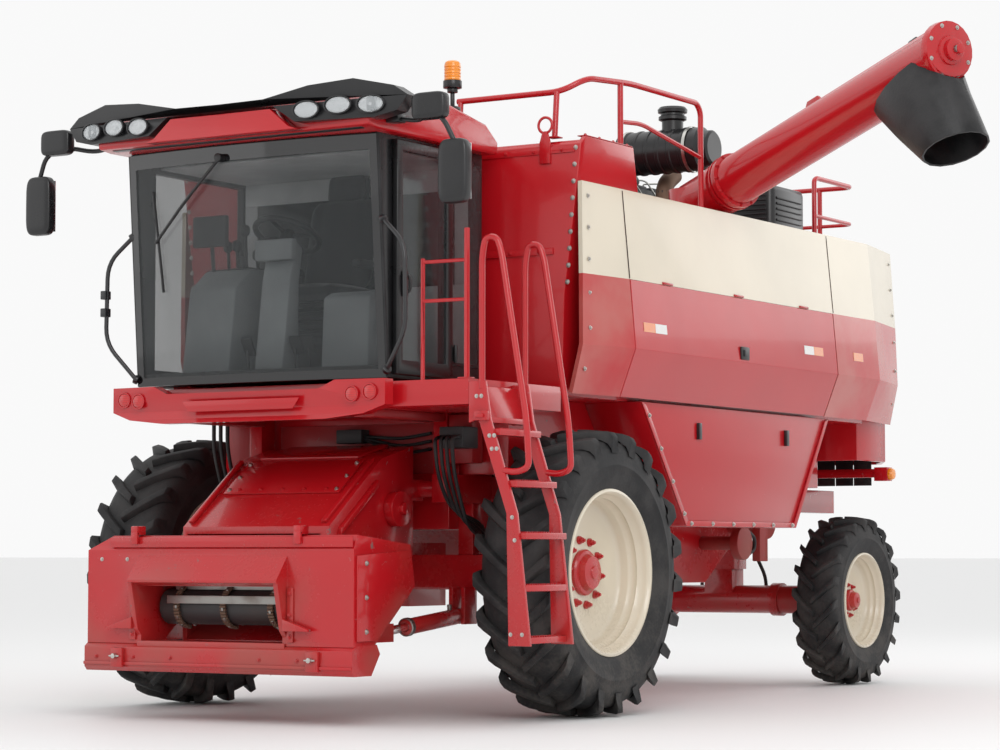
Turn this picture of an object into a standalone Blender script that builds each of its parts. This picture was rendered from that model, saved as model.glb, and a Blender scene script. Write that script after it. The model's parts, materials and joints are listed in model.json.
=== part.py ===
"""Combine harvester, whole machine without its header.

Metres, +Z up.  In the design frame the machine faces -Y, +X is its left side and the origin lies
on the ground under the front axle; every size below is given there.  The finished assembly is
moved as a whole so that the origin comes to the middle of its footprint.
"""

import math

import bmesh
import bpy
from mathutils import Matrix, Vector

# ---- overall ----------------------------------------------------------------------------------
GAP = 0.0004                  # left between pieces that touch
WHEELBASE = 4.38
CHORD = 0.014                 # how far a polygon may stand inside its circle on small rounds
ROUND_STEPS = 16              # sides of a shaft, boss or small tube

# ---- wheels -----------------------------------------------------------------------------------
TYRE_STEPS = 28               # sides of a tyre and of its rim
FRONT_TYRE_R = 0.81
FRONT_TYRE_W = 0.467
FRONT_TRACK = 2.713           # between the middles of the front tyres
FRONT_RIM_R = 0.4575
REAR_TYRE_R = 0.59
REAR_TYRE_W = 0.315
REAR_TRACK = 1.935
REAR_RIM_R = 0.323
RIM_WALL = 0.016
DISC_WALL = 0.03
BEAD_GAP = 0.0006             # between rim and tyre bore

# ---- frame and body ---------------------------------------------------------------------------
RAIL_IN = 0.60                # inner face of a frame rail from the middle plane
RAIL_W = 0.10
RAIL_Z = (1.20, 1.36)
RAIL_Y = (-0.38, 4.75)
CORE_Z = (0.72, 1.80)         # thresher housing, belly to top
CORE_FRONT = -0.20
CORE_HALF = 1.0               # half width above the rails
CORE_REAR = 3.85
DECK_Z = 1.80                 # under side of tank and engine deck
TANK_Y = (-0.10, 1.73)
TANK_TOP = 3.27
TANK_SHOULDER_Z = 3.0         # tank rim behind its raised front
TANK_RAISED_Y = 0.50
TANK_WALL = 0.03
TANK_HALF = (1.425, 1.31, 1.29)   # half width at the rim, knee and foot
TANK_KNEE_Z = 2.37
TANK_FLOOR_Z = (2.42, 1.95)       # hopper floor at the walls and in the middle
ENGINE_DECK_Z = 2.70
ENGINE_DECK_HALF = 1.29
HOOD_Y = (3.95, 4.42, 4.92)   # straw hood: front, where it narrows, tail
HOOD_Z = (1.55, 2.99)
HOOD_HALF = (1.25, 1.0)
HOOD_WALL = 0.03

# ---- side panels: outer surface as (x, z), top to bottom, at four stations along the machine ---
PANEL_WALL = 0.028
PANEL_TOP = 3.01
PANEL_SEAM_Z = 2.486
PANEL_CREASE_Z = 2.085
PANEL_FOOT_Z = 1.81
PANEL_Y = (-0.10, 0.35, 3.75, 4.42)
PANEL_TOP_X = (1.425, 1.43, 1.43, 1.30)
PANEL_SEAM_X = (1.43, 1.48, 1.48, 1.335)
PANEL_CREASE_X = (1.43, 1.516, 1.516, 1.35)
PANEL_FOOT_X = (1.36, 1.41, 1.41, 1.29)
DOOR_Y = (0.35, 3.09)         # service door, front and rear seam
DOOR_SEAM = 0.008
BRACE_HALF = 0.012            # half thickness of the braces that hold the side panels

# ---- feeder -----------------------------------------------------------------------------------
FEEDER_PIVOT = (-0.30, 1.28)  # y, z
FEEDER_HALF = 0.50
FEEDER_WALL = 0.03
FEEDER_REAR_Y = -0.42
ADAPTER_FRONT = -1.58
ADAPTER_HALF = 0.90
ADAPTER_WALL = 0.03
MOUTH_X = (-0.52, 0.44)
MOUTH_Z = (0.435, 0.735)
HOOD_REACH = 0.10             # how far the hood over the mouth stands out
DRUM_R = 0.10
DRUM_AT = (-1.36, 0.62)
TRUNNION_R = 0.05
CYL_X = 0.66
CYL_FOOT = (-0.16, 0.56)      # y, z of the barrel's pin on the axle bracket
CYL_EYE = (-0.98, 0.48)       # y, z of the rod's pin under the adapter
CYL_R = 0.045
ROD_R = 0.024
EYE_R = 0.04
EYE_HALF = 0.028              # half width of a cylinder eye
BARREL_LENGTH = 0.577         # from the barrel's pin to its open end

# ---- cab --------------------------------------------------------------------------------------
CAB_HALF = 0.85
CAB_Z = (1.857, 3.177)
CAB_FRONT = -1.20             # at the corners of the windscreen foot
CAB_REAR = -0.242
CAB_BULGE = 0.06
CAB_LEAN = 0.10               # windscreen top ahead of its foot
CAB_WALL = 0.05
CAB_SILL = 0.07
GLASS = 0.012
GLASS_SEAT = 0.02             # how far a pane reaches over its opening's edge
DOOR_FRONT = -1.13
B_PILLAR = -0.63
DOOR_WALL = 0.035
ROOF_HALF = 0.93
ROOF_TOP = 3.41
DECK_TOP = 1.837
DECK_BOTTOM = 1.70
DECK_OUT = 1.37
VISOR_FRONT = -1.60

# ---- ladder and rails -------------------------------------------------------------------------
RAIL_TUBE_R = 0.017
LADDER_Y = (-1.20, -0.74)
LADDER_PLATE = 0.025
STEP_RISE = 0.273
STEP_FIRST = 0.44
STEP_COUNT = 5

# ---- unloading auger --------------------------------------------------------------------------
AUGER_AT = (1.08, 1.91)
AUGER_Z = 3.10
AUGER_HEADING = math.radians(-26.0)
AUGER_RISE = math.radians(14.5)
AUGER_REACH = 2.476           # along the tube
AUGER_R = 0.155
TURRET_R = 0.165
TURRET_Z = (2.92, 3.20)

RED = (0.62, 0.012, 0.018, 1.0)
CREAM = (0.80, 0.74, 0.62, 1.0)
BLACK = (0.02, 0.02, 0.022, 1.0)
DARK = (0.06, 0.06, 0.065, 1.0)
GREY = (0.20, 0.21, 0.21, 1.0)
STEEL = (0.30, 0.30, 0.31, 1.0)
GLASS_TINT = (0.35, 0.40, 0.40, 1.0)
AMBER = (0.90, 0.35, 0.02, 1.0)


# ---- scene and collections --------------------------------------------------------------------
def clear_scene():
    """Remove every object that the file opened with."""
    for old in list(bpy.data.objects):
        bpy.data.objects.remove(old, do_unlink=True)


def new_collection(name):
    made = bpy.data.collections.new(name)
    bpy.context.scene.collection.children.link(made)
    return made


clear_scene()
PARTS = new_collection("combine_harvester")
CUTTERS = new_collection("cutters")


def material(name, colour, roughness, metallic=0.0):
    made = bpy.data.materials.new(name)
    made.use_nodes = True
    shader = made.node_tree.nodes["Principled BSDF"]
    shader.inputs["Base Color"].default_value = colour
    shader.inputs["Roughness"].default_value = roughness
    shader.inputs["Metallic"].default_value = metallic
    return made


def link(obj, collection=PARTS):
    for old in list(obj.users_collection):
        old.objects.unlink(obj)
    collection.objects.link(obj)
    return obj


def shelve(obj):
    """Put a tool body with the cutters, out of renders."""
    link(obj, CUTTERS)
    obj.hide_render = True
    obj.display_type = "WIRE"


# ---- basic shapes -----------------------------------------------------------------------------
def from_bmesh(name, bm):
    mesh = bpy.data.meshes.new(name)
    bm.to_mesh(mesh)
    bm.free()
    return link(bpy.data.objects.new(name, mesh))


def block(name, low, high):
    """A box between two corners."""
    bm = bmesh.new()
    bmesh.ops.create_cube(bm, size=1.0)
    low, high = Vector(low), Vector(high)
    bmesh.ops.scale(bm, vec=high - low, verts=bm.verts)
    bmesh.ops.translate(bm, vec=(low + high) / 2, verts=bm.verts)
    return from_bmesh(name, bm)


def rod(name, start, end, radius, sides=ROUND_STEPS, end_radius=None):
    """A cylinder or cone between two points, one flat facing down."""
    start, end = Vector(start), Vector(end)
    along = end - start
    bm = bmesh.new()
    bmesh.ops.create_cone(bm, cap_ends=True, segments=sides, radius1=radius,
                          radius2=radius if end_radius is None else end_radius, depth=along.length)
    turn = along.to_track_quat("Z", "Y").to_matrix().to_4x4()
    half_side = Matrix.Rotation(math.pi / sides, 4, "Z")
    bmesh.ops.transform(bm, matrix=Matrix.Translation((start + end) / 2) @ turn @ half_side,
                        verts=bm.verts)
    return from_bmesh(name, bm)


def ball(name, centre, radius):
    bm = bmesh.new()
    bmesh.ops.create_uvsphere(bm, u_segments=12, v_segments=8, radius=radius)
    bmesh.ops.translate(bm, vec=centre, verts=bm.verts)
    return from_bmesh(name, bm)


def as_mesh(curve_object):
    """Turn a curve object into a welded mesh object of the same name."""
    bpy.context.view_layer.update()
    graph = bpy.context.evaluated_depsgraph_get()
    mesh = bpy.data.meshes.new_from_object(curve_object.evaluated_get(graph))
    name, place = curve_object.name, curve_object.matrix_world.copy()
    curve = curve_object.data
    bpy.data.objects.remove(curve_object)
    bpy.data.curves.remove(curve)
    bm = bmesh.new()
    bm.from_mesh(mesh)
    bmesh.ops.remove_doubles(bm, verts=bm.verts, dist=0.00005)
    bmesh.ops.dissolve_degenerate(bm, edges=bm.edges, dist=0.00001)
    bmesh.ops.transform(bm, matrix=place, verts=bm.verts)
    bmesh.ops.recalc_face_normals(bm, faces=bm.faces)
    bm.to_mesh(mesh)
    bm.free()
    mesh.name = name
    return link(bpy.data.objects.new(name, mesh))


# local x, y, z of a flat outline to the world, by the axis that it is extruded along
OUTLINE_FRAMES = {
    "X": Matrix(((0, 0, 1, 0), (1, 0, 0, 0), (0, 1, 0, 0), (0, 0, 0, 1))),
    "Y": Matrix(((1, 0, 0, 0), (0, 0, -1, 0), (0, 1, 0, 0), (0, 0, 0, 1))),
    "Z": Matrix.Identity(4),
}


def prism(name, outline, axis, low, high):
    """A flat outline extruded along X (y, z points), Y (x, z points) or Z (x, y points)."""
    curve = bpy.data.curves.new(name, "CURVE")
    curve.dimensions = "2D"
    curve.fill_mode = "BOTH"
    curve.extrude = (high - low) / 2
    spline = curve.splines.new("POLY")
    spline.points.add(len(outline) - 1)
    for point, (u, v) in zip(spline.points, outline):
        point.co = (u, v, 0.0, 1.0)
    spline.use_cyclic_u = True
    obj = bpy.data.objects.new(name, curve)
    PARTS.objects.link(obj)
    middle = (low + high) / 2
    shift = {"X": (middle, 0, 0), "Y": (0, middle, 0), "Z": (0, 0, middle)}[axis]
    obj.matrix_world = Matrix.Translation(shift) @ OUTLINE_FRAMES[axis]
    return as_mesh(obj)


def tube(name, points, radius=RAIL_TUBE_R, sides_level=1):
    """A bent tube with filled ends along a list of points."""
    curve = bpy.data.curves.new(name, "CURVE")
    curve.dimensions = "3D"
    curve.bevel_depth = radius
    curve.bevel_resolution = sides_level
    curve.use_fill_caps = True
    spline = curve.splines.new("POLY")
    spline.points.add(len(points) - 1)
    for point, place in zip(spline.points, points):
        point.co = (*place, 1.0)
    obj = bpy.data.objects.new(name, curve)
    PARTS.objects.link(obj)
    return as_mesh(obj)


def turned(name, profile, steps, centre, half_turn=True):
    """A profile of (radius, x) points, closed, screwed about the X axis through centre."""
    bm = bmesh.new()
    verts = [bm.verts.new((radius, 0.0, offset)) for radius, offset in profile]
    for first, second in zip(verts, verts[1:] + verts[:1]):
        bm.edges.new((first, second))
    obj = from_bmesh(name, bm)
    screw = obj.modifiers.new("Turn", "SCREW")
    screw.axis = "Z"
    screw.angle = math.tau
    screw.steps = steps
    screw.render_steps = steps
    screw.use_merge_vertices = True
    screw.merge_threshold = 0.00005
    screw.use_normal_calculate = True
    obj = apply_modifiers(obj)
    flat_down = Matrix.Rotation(math.pi / steps if half_turn else 0.0, 4, "X")
    obj.data.transform(Matrix.Translation(centre) @ flat_down @ Matrix.Rotation(math.pi / 2, 4, "Y"))
    bm = bmesh.new()
    bm.from_mesh(obj.data)
    bmesh.ops.recalc_face_normals(bm, faces=bm.faces)
    bm.to_mesh(obj.data)
    bm.free()
    return obj


def apply_modifiers(obj):
    bpy.context.view_layer.update()
    graph = bpy.context.evaluated_depsgraph_get()
    mesh = bpy.data.meshes.new_from_object(obj.evaluated_get(graph))
    obj.modifiers.clear()
    obj.data = mesh
    return obj


# ---- combining --------------------------------------------------------------------------------
def combine(target, tools, operation):
    """Add one live EXACT Boolean for each tool; the tools go with the cutters."""
    for tool in tools:
        modifier = target.modifiers.new(operation.title(), "BOOLEAN")
        modifier.operation = operation
        modifier.object = tool
        modifier.solver = "EXACT"
        shelve(tool)
    return target


def unite(target, *tools):
    return combine(target, tools, "UNION")


def cut(target, *tools):
    return combine(target, tools, "DIFFERENCE")


def keep(target, *tools):
    return combine(target, tools, "INTERSECT")


def soften(target, width, segments=1):
    bevel = target.modifiers.new("Edges", "BEVEL")
    bevel.width = width
    bevel.segments = segments
    bevel.limit_method = "ANGLE"
    bevel.angle_limit = math.radians(35)
    return target


def mirror_x(outline):
    """A whole outline from the half on the +X side, given from top to bottom."""
    return list(outline) + [(-x, z) for x, z in reversed(outline) if abs(x) > 1e-9]


def side_name(base, side):
    return f"{base}_{'left' if side > 0 else 'right'}"


def span(side, near, far):
    """The low and high X of a stretch between two distances from the middle plane."""
    return (near, far) if side > 0 else (-far, -near)


# ---- wheels -----------------------------------------------------------------------------------
def axle_height(tyre_radius):
    """A tyre of TYRE_STEPS flats stands on one of them."""
    return tyre_radius * math.cos(math.pi / TYRE_STEPS)


FRONT_Z = axle_height(FRONT_TYRE_R)
REAR_Z = axle_height(REAR_TYRE_R)


def tyre(name, side, radius, width, bore, track, y, height):
    """A tyre with a flat crown, rounded shoulders and bulging walls."""
    half = width / 2
    wall = (radius - bore)
    profile = [(bore + BEAD_GAP, half * 0.80), (bore + wall * 0.35, half), (bore + wall * 0.72, half),
               (radius - wall * 0.06, half * 0.84), (radius, half * 0.55)]
    ring = profile + [(r, -x) for r, x in reversed(profile)]
    return turned(name, ring, TYRE_STEPS, (side * track / 2, y, height))


def rim(name, side, width, bore, track, y, height, hub_radius, hub_out):
    """A rim with a deep dished disc and a hub boss, open towards the outside."""
    half = width * 0.40
    seat = bore - 0.022
    profile = [(bore, half), (bore, half - 0.02), (seat, half - 0.05), (seat, -half + 0.05),
               (bore, -half + 0.02), (bore, -half), (bore - RIM_WALL, -half),
               (seat - RIM_WALL, -half + 0.055), (seat - RIM_WALL, -DISC_WALL / 2),
               (0.0, -DISC_WALL / 2), (0.0, hub_out), (hub_radius, hub_out),
               (hub_radius, DISC_WALL / 2), (seat - RIM_WALL, DISC_WALL / 2),
               (seat - RIM_WALL, half - 0.055), (bore - RIM_WALL, half)]
    if side < 0:
        profile = [(r, -x) for r, x in profile]
    return turned(name, profile, TYRE_STEPS, (side * track / 2, y, height))


# ---- joints -----------------------------------------------------------------------------------
PIVOTS = {}


def pivot(name, place):
    """An empty on a joint's axis."""
    empty = bpy.data.objects.new(name, None)
    empty.empty_display_size = 0.2
    empty.location = place
    PARTS.objects.link(empty)
    PIVOTS[name] = empty
    return empty


def hang(parent, *pieces):
    """Parent pieces to a pivot and keep them where they are."""
    bpy.context.view_layer.update()
    for piece in pieces:
        piece.parent = parent
        piece.matrix_parent_inverse = parent.matrix_world.inverted()


def paint(piece, finish):
    piece.data.materials.clear()
    piece.data.materials.append(finish)
    return piece


# ---- rolling gear -----------------------------------------------------------------------------
HUB_FRONT = 0.05
HUB_REAR = 0.05


def wheels(finishes):
    """Four wheels, each a rim and a tyre on one spin axis."""
    made = {}
    for side in (1, -1):
        name = side_name("front", side)
        spin = pivot(f"{name}_spin", (side * FRONT_TRACK / 2, 0.0, FRONT_Z))
        rubber = tyre(side_name("front_tyre", side), side, FRONT_TYRE_R, FRONT_TYRE_W, FRONT_RIM_R,
                      FRONT_TRACK, 0.0, FRONT_Z)
        steel = rim(side_name("front_rim", side), side, FRONT_TYRE_W, FRONT_RIM_R, FRONT_TRACK, 0.0,
                    FRONT_Z, 0.13, HUB_FRONT)
        hang(spin, paint(rubber, finishes["tyre"]), paint(steel, finishes["cream"]))
        made[name] = spin

        name = side_name("rear", side)
        spin = pivot(f"{name}_spin", (side * REAR_TRACK / 2, WHEELBASE, REAR_Z))
        rubber = tyre(side_name("rear_tyre", side), side, REAR_TYRE_R, REAR_TYRE_W, REAR_RIM_R,
                      REAR_TRACK, WHEELBASE, REAR_Z)
        steel = rim(side_name("rear_rim", side), side, REAR_TYRE_W, REAR_RIM_R, REAR_TRACK,
                    WHEELBASE, REAR_Z, 0.075, HUB_REAR)
        hang(spin, paint(rubber, finishes["tyre"]), paint(steel, finishes["cream"]))
        made[name] = spin
    return made


KINGPIN_X = 0.73
KNUCKLE_Z = (REAR_Z - 0.07, REAR_Z + 0.07)
KNUCKLE_PLATE = 0.035
AXLE_TUBE_R = 0.10
AXLE_END = 0.645              # where the round rear beam ends, short of the kingpin
PEDESTAL_FOOT = 0.80          # where the frame's pedestal meets the rear axle's bracket


def front_axle(finishes):
    """Drive axle: a cross tube, a gearbox in its middle, final drives and stubs at its ends."""
    disc_in = FRONT_TRACK / 2 - DISC_WALL / 2
    beam = block("front_axle", (-1.02, -0.11, FRONT_Z - 0.10), (1.02, 0.11, FRONT_Z + 0.10))
    tools = [block("axle_gearbox", (-0.27, -0.06, FRONT_Z - 0.20), (0.23, 0.34, FRONT_Z + 0.17))]
    for side in (1, -1):
        low, high = span(side, 0.90, 1.075)
        tools.append(rod("final_drive", (low, 0.03, FRONT_Z + 0.02), (high, 0.03, FRONT_Z + 0.02), 0.25))
        low, high = span(side, 1.05, disc_in - GAP)
        tools.append(rod("axle_stub", (low, 0.0, FRONT_Z), (high, 0.0, FRONT_Z), 0.14))
        low, high = span(side, RAIL_IN, RAIL_IN + RAIL_W)
        tools.append(block("axle_pad", (low, -0.10, FRONT_Z + 0.05), (high, 0.10, RAIL_Z[0] - GAP)))
        low, high = span(side, CYL_X - 0.055, CYL_X - EYE_HALF - GAP)
        for ear_low, ear_high in ((low, high), span(side, CYL_X + EYE_HALF + GAP, CYL_X + 0.055)):
            tools.append(block("cylinder_ear", (ear_low, CYL_FOOT[0] - 0.05, CYL_FOOT[1] - 0.05),
                               (ear_high, -0.08, CYL_FOOT[1] + 0.16)))
    return paint(unite(beam, *tools), finishes["red"])


def rear_axle(finishes):
    """Steering axle: a round beam with an eye at each end and a pivot bracket in its middle."""
    beam = rod("rear_axle", (-AXLE_END, WHEELBASE, REAR_Z), (AXLE_END, WHEELBASE, REAR_Z), AXLE_TUBE_R, 20)
    tools = [block("axle_bracket", (-0.11, WHEELBASE - 0.09, REAR_Z), (0.11, WHEELBASE + 0.09, PEDESTAL_FOOT))]
    low, high = KNUCKLE_Z
    eye_low, eye_high = low + KNUCKLE_PLATE + GAP, high - KNUCKLE_PLATE - GAP
    for side in (1, -1):
        tools.append(rod("kingpin_eye", (side * KINGPIN_X, WHEELBASE, eye_low),
                         (side * KINGPIN_X, WHEELBASE, eye_high), 0.055))
        near, far = span(side, AXLE_END - 0.04, KINGPIN_X)
        tools.append(block("eye_root", (near, WHEELBASE - 0.048, eye_low + 0.001),
                           (far, WHEELBASE + 0.048, eye_high - 0.001)))
        near, far = span(side, 0.40, 0.47)
        tools.append(rod("axle_collar", (near, WHEELBASE, REAR_Z), (far, WHEELBASE, REAR_Z), 0.118, 20))
    cylinder = rod("steering_cylinder", (-0.34, WHEELBASE + 0.16, REAR_Z), (0.34, WHEELBASE + 0.16, REAR_Z),
                   0.04)
    tools += [cylinder,
              block("cylinder_bracket", (-0.06, WHEELBASE + 0.05, REAR_Z - 0.03),
                    (0.06, WHEELBASE + 0.16, REAR_Z + 0.03))]
    return paint(unite(beam, *tools), finishes["red"])


def knuckles(finishes, wheel_pivots):
    """Steering knuckles: a fork over the axle's eye and a stub that carries the wheel."""
    made = []
    disc_in = REAR_TRACK / 2 - DISC_WALL / 2
    low, high = KNUCKLE_Z
    for side in (1, -1):
        place = (side * KINGPIN_X, WHEELBASE, REAR_Z)
        steer = pivot(side_name("steer", side), place)
        near, far = span(side, KINGPIN_X + 0.065, KINGPIN_X + 0.10)
        web = block(side_name("steering_knuckle", side), (near, WHEELBASE - 0.06, low),
                    (far, WHEELBASE + 0.06, high))
        near, far = span(side, KINGPIN_X - 0.05, KINGPIN_X + 0.09)
        tools = [block("fork_low", (near, WHEELBASE - 0.05, low), (far, WHEELBASE + 0.05, low + KNUCKLE_PLATE)),
                 block("fork_high", (near, WHEELBASE - 0.05, high - KNUCKLE_PLATE),
                       (far, WHEELBASE + 0.05, high))]
        near, far = span(side, KINGPIN_X + 0.08, disc_in - GAP)
        tools.append(rod("stub", (near, WHEELBASE, REAR_Z), (far, WHEELBASE, REAR_Z), 0.06))
        knuckle = paint(unite(web, *tools), finishes["red"])
        hang(steer, knuckle)
        hang(steer, wheel_pivots[side_name("rear", side)])
        made.append(steer)
    return made


# ---- frame and body ---------------------------------------------------------------------------
def chassis(finishes):
    """Two rails, cross members, cab posts and the pedestal over the rear axle."""
    low, high = span(1, RAIL_IN, RAIL_IN + RAIL_W)
    frame = block("chassis_frame", (low, RAIL_Y[0], RAIL_Z[0]), (high, RAIL_Y[1], RAIL_Z[1]))
    low, high = span(-1, RAIL_IN, RAIL_IN + RAIL_W)
    inside = RAIL_IN + 0.02
    tools = [block("rail_right", (low, RAIL_Y[0], RAIL_Z[0]), (high, RAIL_Y[1], RAIL_Z[1])),
             block("rear_member", (-inside, 4.63, RAIL_Z[0] + 0.01), (inside, RAIL_Y[1] - 0.005, RAIL_Z[1] - 0.01)),
             block("axle_member", (-inside, WHEELBASE - 0.12, RAIL_Z[0] + 0.01),
                   (inside, WHEELBASE + 0.12, RAIL_Z[1] - 0.01)),
             block("axle_pedestal", (-0.13, WHEELBASE - 0.10, PEDESTAL_FOOT + GAP), (0.13, WHEELBASE + 0.10, RAIL_Z[0] + 0.03))]
    for side in (1, -1):
        low, high = span(side, RAIL_IN + 0.005, RAIL_IN + RAIL_W - 0.005)
        tools.append(block("cab_post", (low, RAIL_Y[0] + 0.01, RAIL_Z[1] - 0.03), (high, -0.24, DECK_BOTTOM - GAP)))
        near, far = span(side, 0.64, 1.26)
        tools.append(block("lamp_arm", (near, 4.28, 1.44), (far, 4.32, 1.50)))
        low, high = span(side, RAIL_IN + 0.02, RAIL_IN + RAIL_W - 0.02)
        tools.append(block("lamp_post", (low, 4.27, RAIL_Z[1] - 0.03), (high, 4.33, 1.49)))
        low, high = span(side, 1.24, 1.34)
        tools.append(block("lamp_head", (low, 4.25, 1.415), (high, 4.335, 1.51)))
    return paint(unite(frame, *tools), finishes["red"])


def thresher(finishes):
    """Threshing and cleaning housing: a wide body over the rails and a narrow belly between them."""
    half = RAIL_IN - GAP
    belly = prism("belly", [(0.42, 1.50), (0.42, 1.05), (0.80, CORE_Z[0]), (2.95, CORE_Z[0]),
                                       (3.45, 1.05), (CORE_REAR, 1.22), (CORE_REAR, 1.50)], "X", -half, half)
    front = block("front_wall", (-half, CORE_FRONT, 1.05), (half, 0.60, 1.55))
    top = block("thresher_housing", (-CORE_HALF, CORE_FRONT, RAIL_Z[1] + GAP), (CORE_HALF, CORE_REAR, CORE_Z[1]))
    return paint(unite(top, belly, front), finishes["red"])


def tank_half(z):
    """Half width of the tank's outside at a height above its knee."""
    rise = (z - TANK_KNEE_Z) / (TANK_TOP - TANK_KNEE_Z)
    return TANK_HALF[1] + (TANK_HALF[0] - TANK_HALF[1]) * rise


def grain_tank(finishes):
    """Open hopper with flared walls, a raised front and a floor that falls to the middle."""
    def flared(inset, top, floor):
        rim_half, knee_half, foot_half = (half - inset for half in TANK_HALF)
        return mirror_x([(rim_half, top), (knee_half, TANK_KNEE_Z), (foot_half, floor)])

    side = [(TANK_Y[0], DECK_Z + GAP), (TANK_Y[0], TANK_TOP - 0.05), (TANK_Y[0] + 0.05, TANK_TOP),
            (TANK_RAISED_Y, TANK_TOP), (TANK_RAISED_Y + 0.12, TANK_SHOULDER_Z),
            (TANK_Y[1], TANK_SHOULDER_Z), (TANK_Y[1], DECK_Z + GAP)]
    shell = prism("grain_tank", flared(0.0, TANK_TOP, DECK_Z + GAP), "Y", TANK_Y[0], TANK_Y[1])
    outline = prism("tank_side", side, "X", -1.6, 1.6)
    inner = mirror_x([(tank_half(TANK_TOP + 0.15) - TANK_WALL, TANK_TOP + 0.15),
                      (tank_half(TANK_FLOOR_Z[0]) - TANK_WALL, TANK_FLOOR_Z[0]), (0.22, TANK_FLOOR_Z[1])])
    space = prism("tank_space", inner, "Y", TANK_Y[0] + TANK_WALL, TANK_Y[1] - TANK_WALL)
    return paint(cut(keep(shell, outline), space), finishes["red"])


def engine_deck(finishes):
    """Closed separator body behind the tank, with the engine standing on it."""
    return paint(block("separator_body", (-ENGINE_DECK_HALF, TANK_Y[1] + GAP, DECK_Z + GAP),
                       (ENGINE_DECK_HALF, HOOD_Y[0] - GAP, ENGINE_DECK_Z)), finishes["red"])


def straw_hood(finishes):
    """Hollow rear hood, open at the bottom where the straw falls out."""
    def plan(inset):
        front, bend, tail = HOOD_Y
        wide, narrow = HOOD_HALF
        return [(-wide + inset, front + inset), (wide - inset, front + inset), (wide - inset, bend),
                (narrow - inset, tail - inset), (-narrow + inset, tail - inset), (-wide + inset, bend)]

    shell = prism("straw_hood", plan(0.0), "Z", HOOD_Z[0], HOOD_Z[1])
    space = prism("hood_space", plan(HOOD_WALL), "Z", HOOD_Z[0] - 0.1, HOOD_Z[1] - HOOD_WALL)
    return paint(cut(shell, space), finishes["red"])


def panel_shell(name, side):
    """The outer skin of one side, lofted along the machine and thickened inwards."""
    bm = bmesh.new()
    rows = []
    for y, top, seam, crease, foot in zip(PANEL_Y, PANEL_TOP_X, PANEL_SEAM_X, PANEL_CREASE_X, PANEL_FOOT_X):
        section = ((top, PANEL_TOP), (seam, PANEL_SEAM_Z), (crease, PANEL_CREASE_Z), (foot, PANEL_FOOT_Z))
        rows.append([bm.verts.new((side * x, y, z)) for x, z in section])
    for front, back in zip(rows, rows[1:]):
        for level in range(len(front) - 1):
            bm.faces.new((front[level], front[level + 1], back[level + 1], back[level]))
    bmesh.ops.recalc_face_normals(bm, faces=bm.faces)
    outward = sum(face.normal.x * side for face in bm.faces)
    if outward < 0:
        bmesh.ops.reverse_faces(bm, faces=bm.faces)
    skin = from_bmesh(name, bm)
    wall = skin.modifiers.new("Wall", "SOLIDIFY")
    wall.thickness = PANEL_WALL
    wall.offset = -1.0
    return apply_modifiers(skin)


def side_panels(finishes):
    """Each side: a fixed skin and a service door that is hinged along the seam."""
    made = []
    for side in (1, -1):
        fixed = panel_shell(side_name("side_panel", side), side)
        low, high = span(side, 1.2, 1.7)
        window = block("door_opening", (low, DOOR_Y[0], PANEL_FOOT_Z - 0.2), (high, DOOR_Y[1], PANEL_SEAM_Z))
        door = panel_shell(side_name("service_door", side), side)
        leaf = block("door_leaf", (low, DOOR_Y[0] + DOOR_SEAM, PANEL_FOOT_Z - 0.2),
                     (high, DOOR_Y[1] - DOOR_SEAM, PANEL_SEAM_Z - GAP))
        cut(fixed, window)
        for level, skin_x in ((PANEL_TOP - 0.02, PANEL_TOP_X[1]), (PANEL_SEAM_Z + 0.02, PANEL_SEAM_X[1])):
            near, far = span(side, tank_half(level + BRACE_HALF) + GAP, skin_x - PANEL_WALL / 2)
            brace = block("panel_brace", (near, PANEL_Y[1], level - BRACE_HALF),
                          (far, PANEL_Y[2] - 0.25, level + BRACE_HALF))
            unite(fixed, brace)
        hinge = pivot(side_name("service_door_hinge", side),
                      (side * PANEL_SEAM_X[1], sum(DOOR_Y) / 2, PANEL_SEAM_Z - GAP))
        hang(hinge, paint(keep(door, leaf), finishes["red"]))
        paint(fixed, finishes["cream"])
        made.append(hinge)
    return made


def lower_shields(finishes):
    """Closed drive shields under the side panels."""
    for side in (1, -1):
        low, high = span(side, CORE_HALF + GAP, 1.38)
        shield = prism(side_name("lower_shield", side),
                       [(0.65, DECK_Z - GAP), (1.20, 1.076), (2.70, 1.076), (3.20, DECK_Z - GAP)],
                       "X", low, high)
        paint(shield, finishes["red"])


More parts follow.
